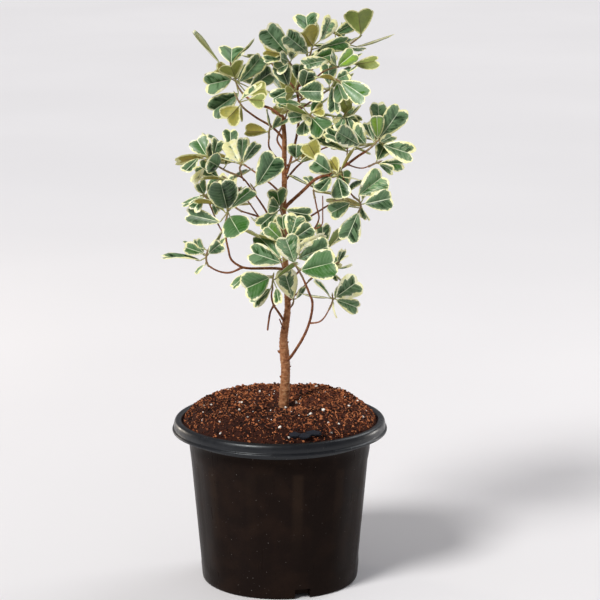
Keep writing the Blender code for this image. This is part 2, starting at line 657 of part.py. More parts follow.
def front_leaf(row, number, path, draw, move, turn, scale):
    """A leaf as the viewer sees it, leaning forward by its own amount and the move."""
    foot_right, foot_up, tip_right, tip_up, towards, width, roll = row[:7]
    near = min(path[1:], key=lambda point: (point - seen(foot_right, foot_up, -point.y)).length)
    depth = -near.y
    foot = seen(foot_right, foot_up, depth + FOOT_LEAN * (towards + move))
    tip_right = foot_right + (tip_right - foot_right) * scale
    tip_up = foot_up + (tip_up - foot_up) * scale
    tip = seen(tip_right, tip_up, depth + (towards + move) * scale)
    root = closest_root(path, foot, tip, number)
    if (foot - root).normalized().dot((tip - foot).normalized()) < LEAST_STRAIGHT:
        foot = root.lerp(tip, FOOT_SHARE)
    fold, arch = draw
    if len(row) > 7:
        fold = math.radians(row[7])
    face = (EYE - foot).normalized()
    wide = width * SEEN_WIDTH * (0.5 + 0.5 * scale)
    return Leaf(root, foot, tip, wide, math.radians(roll + turn), face,
                fold, arch, width < PLAIN_WIDTH)


def far_leaf(number, total, path, draw, move, turn, scale):
    """A leaf on the far side: a golden-angle rule, behind what the viewer sees."""
    fold, arch, length, width, lift = draw
    place = 1.0 + (len(path) - 2) * (number + 0.6) / (total + 0.4)
    step = min(int(place), len(path) - 2)
    spot = path[step].lerp(path[step + 1], place - step)
    angle = GOLDEN_ANGLE * number + 0.7
    deep = FAR_REACH * (0.35 + 0.65 * ((number * GOLDEN_SHARE + 0.5) % 1.0)) - move
    away = Vector((math.cos(angle) * FAR_SPREAD, deep, math.sin(angle) * FAR_SPREAD + lift))
    away = away.normalized()
    foot = spot + away * FAR_PETIOLE
    tip = foot + away * (length * scale)
    return Leaf(spot, foot, tip, width * scale, math.radians(turn), FAR_FACE,
                fold, arch, True)


def leaf_candidates(name, path):
    """For each leaf of a shoot, a function that gives its pose for a try."""
    draws = random.Random(name)
    _twig, _route, behind, rows = SHOOTS[name]
    makers = []
    for number, row in enumerate(rows):
        draw = (math.radians(draws.uniform(*FOLDS)), draws.uniform(*ARCHES))
        makers.append(lambda move, turn, scale, row=row, number=number, draw=draw:
                      front_leaf(row, number, path, draw, move, turn, scale))
    for number in range(behind):
        draw = (math.radians(draws.uniform(*FOLDS)), draws.uniform(*FAR_ARCHES),
                draws.uniform(*FAR_LENGTHS), draws.uniform(*FAR_WIDTHS), draws.uniform(*FAR_LIFTS))
        makers.append(lambda move, turn, scale, number=number, draw=draw:
                      far_leaf(number, behind, path, draw, move, turn, scale))
    return makers


class Obstacle:
    """A solid that leaves keep clear of, with the ball that holds it.

    A leaf's slim solid lacks its root, where leaves of one stem may touch.
    """

    def __init__(self, owner, mesh, slim_mesh=None):
        points, faces = mesh
        self.owner = owner
        self.tree = BVHTree.FromPolygons(points, faces)
        self.slim_tree = BVHTree.FromPolygons(*slim_mesh) if slim_mesh else self.tree
        self.centre = sum(points, Vector()) / len(points)
        self.radius = max((point - self.centre).length for point in points)

    def meets(self, other):
        if (self.centre - other.centre).length > self.radius + other.radius:
            return False
        if self.owner == other.owner:
            return bool(self.slim_tree.overlap(other.slim_tree))
        return bool(self.tree.overlap(other.tree))


def place_leaves():
    """The pose of every leaf of every shoot, clear of all other solids."""
    obstacles = []
    for name in TWIGS:
        path, radii = twig_line(name)
        for index in range(len(path) - 1):
            thick = [radii[index] + GAP, radii[index + 1] + GAP]
            obstacles.append(Obstacle("wood", tube_mesh(path[index:index + 2], thick, 6)))
    trunk = [seen(*point[:3]) for point in TRUNK]
    for index in range(1, len(trunk) - 1):
        thick = [TRUNK[index][3] + GAP, TRUNK[index + 1][3] + GAP]
        obstacles.append(Obstacle("wood", tube_mesh(trunk[index:index + 2], thick, 8)))
    stems = {}
    for name in SHOOTS:
        path, radii, way = shoot_line(name)
        stems[name] = path
        piece = tube_mesh(path, [radius + GAP for radius in radii], 6, way)
        obstacles.append(Obstacle(name, piece))
    makers = {name: leaf_candidates(name, stems[name]) for name in SHOOTS}
    placed = {name: [] for name in SHOOTS}
    jobs = [(name, number) for name in SHOOTS for number in range(len(SHOOTS[name][3]))]
    jobs = jobs + [(name, number) for name in SHOOTS
                   for number in range(len(SHOOTS[name][3]), len(makers[name]))]
    for name, number in jobs:
        leaf = clear_pose(makers[name][number], name, obstacles)
        if leaf is None:
            continue
        placed[name].append(leaf)
        obstacles.append(leaf_obstacle(name, leaf, BLADE_THICKNESS))
    return placed


def leaf_obstacle(owner, leaf, thickness):
    return Obstacle(owner, blade_mesh(leaf, thickness), blade_mesh(leaf, thickness, ROOT_FREE))


def clear_pose(maker, owner, obstacles):
    """The first try that meets nothing, or else nothing of another shoot's."""
    spare = None
    for move, turn, scale in LEAF_TRIES:
        leaf = maker(move, turn, scale)
        shape = leaf_obstacle(owner, leaf, BLADE_THICKNESS + BLADE_CLEARANCE)
        strangers = False
        family = 0
        for other in obstacles:
            if other.owner != owner:
                if shape.meets(other):
                    strangers = True
                    break
            elif shape.meets(other):
                family += 1
        if strangers:
            continue
        if family == 0:
            return leaf
        if spare is None or family < spare[0]:
            spare = (family, leaf)
    return spare[1] if spare else None


def ring_mesh(profile, segments, radius_at):
    """A closed turned body: rings of the profile, with each end closed by a point."""
    points = []
    rings = []
    for radius, height in profile:
        if radius == 0:
            rings.append([len(points)])
            points.append(Vector((0, 0, height)))
            continue
        ring = []
        for step in range(segments):
            angle = math.tau * step / segments
            reach = radius_at(radius, height, angle)
            ring.append(len(points))
            points.append(Vector((reach * math.cos(angle), reach * math.sin(angle), height)))
        rings.append(ring)
    faces = []
    for lower, upper in zip(rings, rings[1:]):
        for step in range(segments):
            after = (step + 1) % segments
            if len(lower) == 1:
                faces.append([lower[0], upper[after], upper[step]])
            elif len(upper) == 1:
                faces.append([lower[step], lower[after], upper[0]])
            else:
                faces.append([lower[step], lower[after], upper[after], upper[step]])
    return points, faces


def wall_radius(height):
    share = (height - WALL_FOOT) / (WALL_TOP - WALL_FOOT)
    return WALL_FOOT_RADIUS + (WALL_TOP_RADIUS - WALL_FOOT_RADIUS) * share


def pot_outside():
    """The outer profile, from the middle of the base up to the lip of the rim."""
    return [
        (0, 0.0),
        (FLOOR_DISC_RADIUS, 0.0),
        (FLOOR_DISC_RADIUS + 3.5, CHANNEL_HEIGHT),
        (WALL_FOOT_RADIUS - 7.5, CHANNEL_HEIGHT),
        (WALL_FOOT_RADIUS - 4.5, 0.0),
        (WALL_FOOT_RADIUS - 1.8, 0.0),
        (WALL_FOOT_RADIUS - 0.5, 2.2),
        (wall_radius(WALL_FOOT), WALL_FOOT),
        (wall_radius(FLUTE_BOTTOM), FLUTE_BOTTOM),
        (wall_radius(FLUTE_TOP), FLUTE_TOP),
        (WALL_TOP_RADIUS, WALL_TOP),
        (WALL_TOP_RADIUS + 1.8, WALL_TOP + 6.0),
        (WALL_TOP_RADIUS + 5.2, WALL_TOP + 13.0),
        (RIM_RADIUS - 8.9, RIM_TOP - 4.8),
        (RIM_RADIUS - 6.7, RIM_TOP - 2.2),
        (RIM_RADIUS - 4.9, RIM_TOP - 3.8),
        (RIM_RADIUS - 3.6, RIM_TOP - 7.0),
        (RIM_RADIUS - 2.4, LIP_BOTTOM),
    ]


def pot_inside():
    """The inner profile, from the lip over the rim and down to the middle of the floor."""
    return [
        (RIM_RADIUS - 0.2, LIP_BOTTOM),
        (RIM_RADIUS, LIP_BOTTOM + 2.2),
        (RIM_RADIUS - 1.8, LIP_BOTTOM + 3.4),
        (RIM_RADIUS - 1.8, RIM_TOP - 5.4),
        (RIM_RADIUS - 3.9, RIM_TOP - 1.4),
        (RIM_RADIUS - 6.4, RIM_TOP),
        (RIM_RADIUS - 8.9, RIM_TOP - 1.1),
        (RIM_RADIUS - 10.3, RIM_TOP - 3.7),
        (RIM_RADIUS - 13.3, RIM_TOP - 9.4),
        (WALL_TOP_RADIUS - 0.4, WALL_TOP + 6.0),
        (WALL_TOP_RADIUS - WALL_THICKNESS, WALL_TOP),
        (wall_radius(20) - WALL_THICKNESS - FLUTE_DEPTH, 20.0),
        (wall_radius(14) - WALL_THICKNESS - 2.5, 14.0),
        (WALL_FOOT_RADIUS - 10.0, CHANNEL_HEIGHT + 2.4),
        (FLOOR_DISC_RADIUS + 2.5, CHANNEL_HEIGHT + 2.4),
        (FLOOR_DISC_RADIUS - 1.5, 2.4),
        (0, 2.4),
    ]


def fluted(radius, height, angle):
    """The wall's outer radius, drawn in between its twelve upright ridges."""
    if FLUTE_BOTTOM <= height <= FLUTE_TOP and abs(radius - wall_radius(height)) < 0.01:
        return radius - FLUTE_DEPTH * math.sin(0.5 * FLUTE_COUNT * (angle - FLUTE_TURN)) ** 2
    return radius


def make_pot(material):
    points, faces = ring_mesh(pot_outside() + pot_inside(), POT_SEGMENTS, fluted)
    pot = make_object("pot", points, faces, material)
    cutters = []
    for number in range(NOTCH_COUNT):
        angle = NOTCH_FIRST_ANGLE + math.tau * number / NOTCH_COUNT
        notch = box_mesh(WALL_FOOT_RADIUS, angle, 12.0, NOTCH_WIDTH, -2.0, NOTCH_HEIGHT)
        cutters.append(make_object("notch_cutter", notch[0], notch[1], None))
        middle = Vector((math.cos(angle), math.sin(angle), 0)) * DRAIN_HOLE_CIRCLE
        hole = [middle + Vector((0, 0, 2.0)), middle + Vector((0, 0, 20.0))]
        drill = tube_mesh(hole, [DRAIN_HOLE_RADIUS] * 2, 10)
        cutters.append(make_object("drain_cutter", drill[0], drill[1], None))
    cut_away(pot, cutters)
    shade_round(pot)
    return pot


def box_mesh(radius, angle, depth, width, low, high):
    """A block across the wall at an angle, to cut a notch with."""
    outward = Vector((math.cos(angle), math.sin(angle), 0))
    sideways = Vector((-math.sin(angle), math.cos(angle), 0))
    points = []
    for height in (low, high):
        for reach, aside in ((-1, -1), (1, -1), (1, 1), (-1, 1)):
            spot = outward * (radius + reach * depth * 0.5) + sideways * (aside * width * 0.5)
            points.append(spot + Vector((0, 0, height)))
    faces = [[3, 2, 1, 0], [4, 5, 6, 7], [0, 1, 5, 4], [1, 2, 6, 5], [2, 3, 7, 6], [3, 0, 4, 7]]
    return points, faces


def cut_away(body, cutters):
    """Takes the cutters out of the body, and removes them."""
    for cutter in cutters:
        cutter.hide_render = True
        cutter.display_type = "WIRE"
        cut = body.modifiers.new("cut", "BOOLEAN")
        cut.operation = "DIFFERENCE"
        cut.object = cutter
        cut.solver = "EXACT"
    graph = bpy.context.evaluated_depsgraph_get()
    shaped = bpy.data.meshes.new_from_object(body.evaluated_get(graph))
    body.modifiers.clear()
    body.data = shaped
    shaped.name = body.name
    for cutter in cutters:
        bpy.data.objects.remove(cutter, do_unlink=True)


def shade_round(made):
    made.data.shade_smooth()
    made.data.set_sharp_from_angle(angle=math.radians(40))


def soil_height(across, depth):
    """The heaped surface, with crumbly bumps that fade out at the rim."""
    share = min(math.hypot(across, depth) / SOIL_EDGE_RADIUS, 1.0)
    heap = SOIL_EDGE_HEIGHT + SOIL_HEAP * (1.0 - share ** SOIL_HEAP_POWER)
    bump = math.sin(across * 0.21 + 1.0) * math.cos(depth * 0.17)
    bump += math.sin(across * 0.09 - depth * 0.13)
    nearness = ((across - TRUNK_FOOT[0]) ** 2 + depth ** 2) / SOIL_DIP_SPREAD
    dip = SOIL_DIP * math.exp(-nearness)
    aside = (across - SOIL_SWELL_PLACE[0]) ** 2 + (depth - SOIL_SWELL_PLACE[1]) ** 2
    swell = SOIL_SWELL * math.exp(-aside / SOIL_SWELL_SPREAD)
    return heap + (SOIL_BUMP * bump + swell) * (1.0 - share ** 8) - dip


def make_soil(material):
    middle = seen(*TRUNK_FOOT)
    hole = TRUNK_FOOT_RADIUS + GAP
    floor = TRUNK_FOOT[1] - GAP * 2
    gap = GAP + 0.1
    below = [
        (0, CHANNEL_HEIGHT + 2.4 + gap),
        (WALL_FOOT_RADIUS - 10.3, CHANNEL_HEIGHT + 2.4 + gap),
        (wall_radius(14) - WALL_THICKNESS - 3.0, 14.4),
        (wall_radius(20) - WALL_THICKNESS - FLUTE_DEPTH - gap - 0.1, 20.4),
        (WALL_TOP_RADIUS - WALL_THICKNESS - gap - 0.1, WALL_TOP + 0.1),
        (WALL_TOP_RADIUS - 0.9, WALL_TOP + 6.2),
        (RIM_RADIUS - 13.9, RIM_TOP - 9.1),
        (SOIL_EDGE_RADIUS, SOIL_EDGE_HEIGHT),
    ]
    points, faces = ring_mesh(below, SOIL_SEGMENTS, lambda radius, height, angle: radius)
    previous = list(range(len(points) - SOIL_SEGMENTS, len(points)))
    shares = [0.96, 0.91, 0.84, 0.74, 0.6, 0.44, 0.28, 0.15]
    for share in shares + ["hole", "bottom"]:
        ring = []
        for step in range(SOIL_SEGMENTS):
            angle = math.tau * step / SOIL_SEGMENTS
            spoke = Vector((math.cos(angle), math.sin(angle), 0))
            if isinstance(share, float):
                spot = spoke * (SOIL_EDGE_RADIUS * share) + middle * (1.0 - share)
                spot.z = soil_height(spot.x, spot.y)
            else:
                spot = Vector((middle.x, middle.y, 0)) + spoke * (hole + 0.3)
                spot.z = soil_height(spot.x, spot.y) if share == "hole" else floor
            ring.append(len(points))
            points.append(spot)
        for step in range(SOIL_SEGMENTS):
            after = (step + 1) % SOIL_SEGMENTS
            faces.append([previous[step], previous[after], ring[after], ring[step]])
        previous = ring
    faces.append(previous)
    soil = make_object("soil", points, faces, material)
    shade_round(soil)
    return soil


def make_wood(material):
    """The trunk and all its leafless twigs, grown together as one piece."""
    points = [seen(*point[:3]) for point in TRUNK]
    mesh = tube_mesh(points, [point[3] for point in TRUNK], TRUNK_SIDES)
    wood = make_object("trunk_and_branches", mesh[0], mesh[1], material)
    twigs = []
    for name in TWIGS:
        path, radii = twig_line(name)
        mesh = tube_mesh(path, radii, twig_sides(name))
        twigs.append(make_object(name, mesh[0], mesh[1], material))
    join_all("trunk_and_branches", wood, twigs)
    shade_round(wood)
    return wood


def make_shoot(name, leaves, material):
    """A green stem with its leaves, grown together as one piece."""
    path, radii, way = shoot_line(name)
    mesh = tube_mesh(path, radii, STEM_SIDES, way)
    shoot = make_object(name, mesh[0], mesh[1], material)
    blades = []
    for leaf in leaves:
        mesh = blade_mesh(leaf, BLADE_THICKNESS)
        blades.append(make_object(name + "_leaf", mesh[0], mesh[1], material))
    join_all(name, shoot, blades)
    return shoot


def main():
    clear_scene()
    black_plastic = make_material("black_plastic", (0.012, 0.011, 0.012), 0.38)
    coir_soil = make_material("coir_soil", (0.085, 0.030, 0.014), 0.95)
    bark = make_material("bark", (0.16, 0.085, 0.055), 0.8)
    leaf_green = make_material("leaf_green", (0.075, 0.16, 0.045), 0.42)
    make_pot(black_plastic)
    make_soil(coir_soil)
    make_wood(bark)
    placed = place_leaves()
    for name in SHOOTS:
        make_shoot(name, placed[name], leaf_green)


main()
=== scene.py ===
"""Potted triangle fig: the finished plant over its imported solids.

Lengths are in millimetres and turned into metres when a mesh is made. The tables
and the rule that places the leaves are those of the solids, so that each fine leaf
stands where its plain one does.
"""

import itertools
import math
import random
from functools import partial

import bpy
import numpy as np
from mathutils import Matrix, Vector, noise
from mathutils.bvhtree import BVHTree


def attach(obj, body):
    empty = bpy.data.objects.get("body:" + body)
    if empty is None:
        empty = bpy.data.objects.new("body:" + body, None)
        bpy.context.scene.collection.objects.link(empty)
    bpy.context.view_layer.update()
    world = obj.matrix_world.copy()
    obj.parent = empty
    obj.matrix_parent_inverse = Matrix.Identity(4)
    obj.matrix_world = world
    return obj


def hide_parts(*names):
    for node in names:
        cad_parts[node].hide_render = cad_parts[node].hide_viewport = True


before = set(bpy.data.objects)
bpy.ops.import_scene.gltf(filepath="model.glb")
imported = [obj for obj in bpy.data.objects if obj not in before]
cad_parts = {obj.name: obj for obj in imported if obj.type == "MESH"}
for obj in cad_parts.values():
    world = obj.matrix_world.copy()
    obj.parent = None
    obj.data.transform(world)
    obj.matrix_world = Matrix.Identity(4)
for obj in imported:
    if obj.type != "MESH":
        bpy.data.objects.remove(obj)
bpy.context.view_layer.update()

MM = 0.001
DEPTH_SPREAD = 1.8
SHARP_EDGE = 50

# Viewer, and the point in the middle of the picture
EYE = Vector((20.5, -2345.8, 794.9))
AIM = Vector((20.5, 0.0, 287.7))

# Pot: a 217 mm wide nursery pot, 167 mm tall
RIM_RADIUS = 108.5
RIM_TOP = 167.0
LIP_BOTTOM = 155.0
WALL_TOP = 144.0
WALL_TOP_RADIUS = 91.8
WALL_FOOT = 7.0
WALL_FOOT_RADIUS = 79.6
WALL_THICKNESS = 2.0
FLOOR_DISC_RADIUS = 48.0
FLOOR_THICKNESS = 2.4
CHANNEL_HEIGHT = 9.0
FLUTE_COUNT = 12
FLUTE_DEPTH = 0.9
FLUTE_TURN = math.radians(12)
NOTCH_COUNT = 3
NOTCH_WIDTH = 16.0
NOTCH_DEPTH = 12.0
NOTCH_HEIGHT = 10.0
NOTCH_FIRST_ANGLE = math.radians(-73)
DRAIN_HOLE_RADIUS = 5.0
DRAIN_HOLE_CIRCLE = 62.0

# Soil: fills the pot and is heaped above the rim
SOIL_EDGE_RADIUS = 97.7
SOIL_EDGE_HEIGHT = 163.3
SOIL_HEAP = 20.5
SOIL_HEAP_POWER = 8
SOIL_BUMP = 1.1
SOIL_DIP = 8.5
SOIL_DIP_SPREAD = 560.0
SOIL_SWELL = 3.0
SOIL_SWELL_PLACE = (50, 42)
SOIL_SWELL_SPREAD = 1100.0
TRUNK_FOOT = (4, 125, 0)

# Solids of the leaves and stems, and how the leaves grow from their stem
GAP = 0.3
BLADE_THICKNESS = 0.7
BLADE_CLEARANCE = 0.7
ROOT_FREE = 2.5
PETIOLE_WIDTH = 1.3
ROOT_WIDTH = 0.8
SHOOT_RADIUS = 1.3
SHOOT_TIP_RADIUS = 1.1
SMALLEST_PETIOLE = 4.0
NARROW_WIDTH = 13.5
STEM_FACES = 6
TRUNK_FACES = 8
FRONT, BEHIND = 0, 1
FOOT_SHARE = 0.14
FOOT_LEAN = 0.15
LEAST_STRAIGHT = 0.35
BEND_COST = 6.0
SEEN_WIDTH = 1.12
FOLDS = (5, 18)
ARCHES = (-0.07, 0.05)

# Blade: a wedge with a blunt end, a shallow notch and rounded corners
BLADE_FOOT_SHARE = 0.07
BLADE_SWELL = 0.95
BLADE_FULL = 0.82
CORNER_ROUND = 0.17
LOBE = 0.45
APEX_NOTCH = 0.07
APEX_CORNER = 0.17
APEX_CORNER_POWER = 2.2

# Leaves of the far side
FAR_SPREAD = 17.0
FAR_REACH = 26.0
FAR_PETIOLE = 5.0
FAR_FACE = Vector((0, 0.3, 1))
FAR_ARCHES = (-0.08, 0.05)
FAR_LENGTHS = (23, 31)
FAR_WIDTHS = (17, 23)
FAR_LIFTS = (-6, 10)
GOLDEN_ANGLE = math.radians(137.5)
GOLDEN_SHARE = 0.618

# Trunk line: right, up, towards the viewer, radius
TRUNK = [
    (4, 125, 0, 5.0), (4, 173, 0, 5.0), (4, 181, 0, 5.4), (5, 195, 0, 4.9), (6, 216, 0, 4.8),
    (5, 231, 0, 5.2), (4, 247, 0, 4.4), (6, 262, 0, 3.9), (8, 277, 0, 3.3), (8, 288, 0, 3.2),
    (7, 308, 0, 3.1), (6, 326, 0, 3.0), (5, 348, 0, 2.9), (4, 369, 0, 2.8), (5, 404, 0, 2.7),
    (5, 429, 0, 2.5), (5, 454, 0, 2.4), (3, 473, 0, 2.1),
]

# Leafless twigs: first radius, last radius, then right, up, towards of each point
TWIGS = {
    "left_upper": (1.9, 1.2, "3 471 0, -8 480 -4, -22 485 -9, -34 493 -13"),
    "left_lower": (1.5, 1.1, "4 451 0, -7 462 1, -22 471 5, -33 479 8"),
    "left_inner": (1.1, 1.0, "5 425 0, -4 433 5, -10 442 10, -10 452 13"),
    "top": (1.7, 1.2, "5 410 0, 8 418 2, 11 428 3, 15 443 2, 18 458 0, 20 480 -2, 18 498 -2, "
                      "22 510 0, 24 515 1"),
    "top_left": (1.1, 1.0, "21 507 0, 19 512 5, 16 518 9"),
    "top_right": (1.2, 1.1, "20 505 -1, 31 517 -6, 39 527 -9, 45 533 -11"),
    "upper_right": (1.2, 1.0, "20 503 -1, 29 508 7, 37 511 13, 45 511 18"),
    "upper_right_spur": (1.0, 0.9, "36 510 12, 40 514 11, 44 517 9"),
    "mid_upper_spur": (0.9, 0.9, "19 490 -2, 22 490 3, 22 492 6"),
    "mid_spur": (1.0, 0.9, "19 469 -1, 22 472 3, 24 475 6"),
    "right": (2.2, 1.4, "5 381 0, 10 386 4, 23 398 8, 36 410 12, 51 416 14, 63 422 16, 78 433 18, "
                        "86 438 19"),
    "right_side": (0.9, 0.7, "67 425 17, 75 422 18, 82 421 19, 89 423 20"),
    "right_riser": (0.9, 0.8, "66 424 16, 67 433 15, 67 443 14, 66 451 13"),
    "right_hanging": (1.0, 0.9, "60 421 16, 64 409 19, 70 397 21, 74 392 21"),
    "right_spur": (0.9, 0.9, "47 414 14, 50 413 17, 53 412 19"),
    "inner_right": (1.2, 0.8, "6 331 0, 16 340 6, 30 354 9, 39 369 10, 37 382 10, 35 392 10"),
    "inner_right_fork": (0.8, 0.7, "33 359 9, 42 364 12, 43 377 13, 43 393 13"),
    "left_middle": (1.3, 0.9, "4 355 0, -8 369 8, -15 381 14, -23 393 18, -34 409 22, -42 414 24"),
    "left_middle_low": (1.1, 0.8, "4 345 0, -10 362 10, -20 372 14, -29 385 17, -42 402 18"),
    "left_rising_spur": (0.9, 0.8, "-35 409 22, -37 413 25, -38 417 26"),
    "left_near_spur": (0.9, 0.8, "-24 394 18, -24 396 20, -24 398 21"),
    "left_low": (1.8, 1.0, "6 319 0, -5 320 6, -18 320 11, -30 320 14, -39 322 16, -48 329 18, "
                           "-51 340 19, -53 350 19, -54 364 19"),
    "left_far_low": (0.9, 0.8, "-53 351 19, -60 363 14, -66 377 11, -69 385 10"),
    "left_bottom": (1.3, 0.9, "-37 321 15, -48 316 18, -57 316 19, -65 319 19, -71 323 19"),
    "front": (1.9, 1.2, "5 225 0, 11 229 4, 23 248 14, 30 265 20, 33 283 25, 30 294 28, 23 311 32"),
    "front_right": (1.0, 0.8, "30 264 20, 39 265 22, 45 270 23, 50 279 23"),
    "low_right": (1.1, 0.8, "8 285 0, 14 291 4, 23 300 9, 30 308 12"),
    "low_left": (1.5, 1.0, "6 264 0, -1 275 5, -6 283 8, -8 292 12, -7 299 15"),
    "low_left_stub": (1.2, 1.1, "-5 283 8, -9 276 9, -11 265 9, -12 257 9"),
    "low_spur": (0.9, 0.8, "8 278 0, 11 280 5, 13 283 7"),
    "short_stub": (0.9, 0.8, "5 257 1, 2 263 5, 0 268 6"),
    "trunk_spur": (1.0, 0.9, "4 421 0, 8 424 4, 11 426 7"),
    "fork_spur": (1.0, 0.9, "4 367 0, 4 371 4, 3 375 6"),
    "back_upper": (1.2, 0.9, "4 439 0, -2 449 -10, 2 461 -22, 6 471 -32"),
    "back_right": (1.3, 0.9, "5 407 0, 18 423 -8, 36 437 -18, 50 443 -28"),
    "back_left": (1.3, 0.9, "5 392 0, -8 405 -10, -24 417 -22, -34 424 -30"),
    "back_low": (1.3, 0.9, "6 307 0, 3 323 -12, -2 335 -24"),
    "back_low_right": (1.3, 0.9, "7 299 0, 16 313 -10, 28 325 -20, 34 329 -25"),
    "back_crown_left": (1.2, 1.0, "18 496 -2, 9 508 -10, -1 518 -18"),
    "back_crown_right": (1.2, 1.0, "20 479 -2, 31 487 -10, 41 494 -18"),
    "back_mid_left": (1.3, 1.0, "4 361 0, -14 370 -9, -38 378 -18"),
    "back_mid_right": (1.3, 1.0, "4 353 0, 24 368 -9, 52 386 -19"),
}

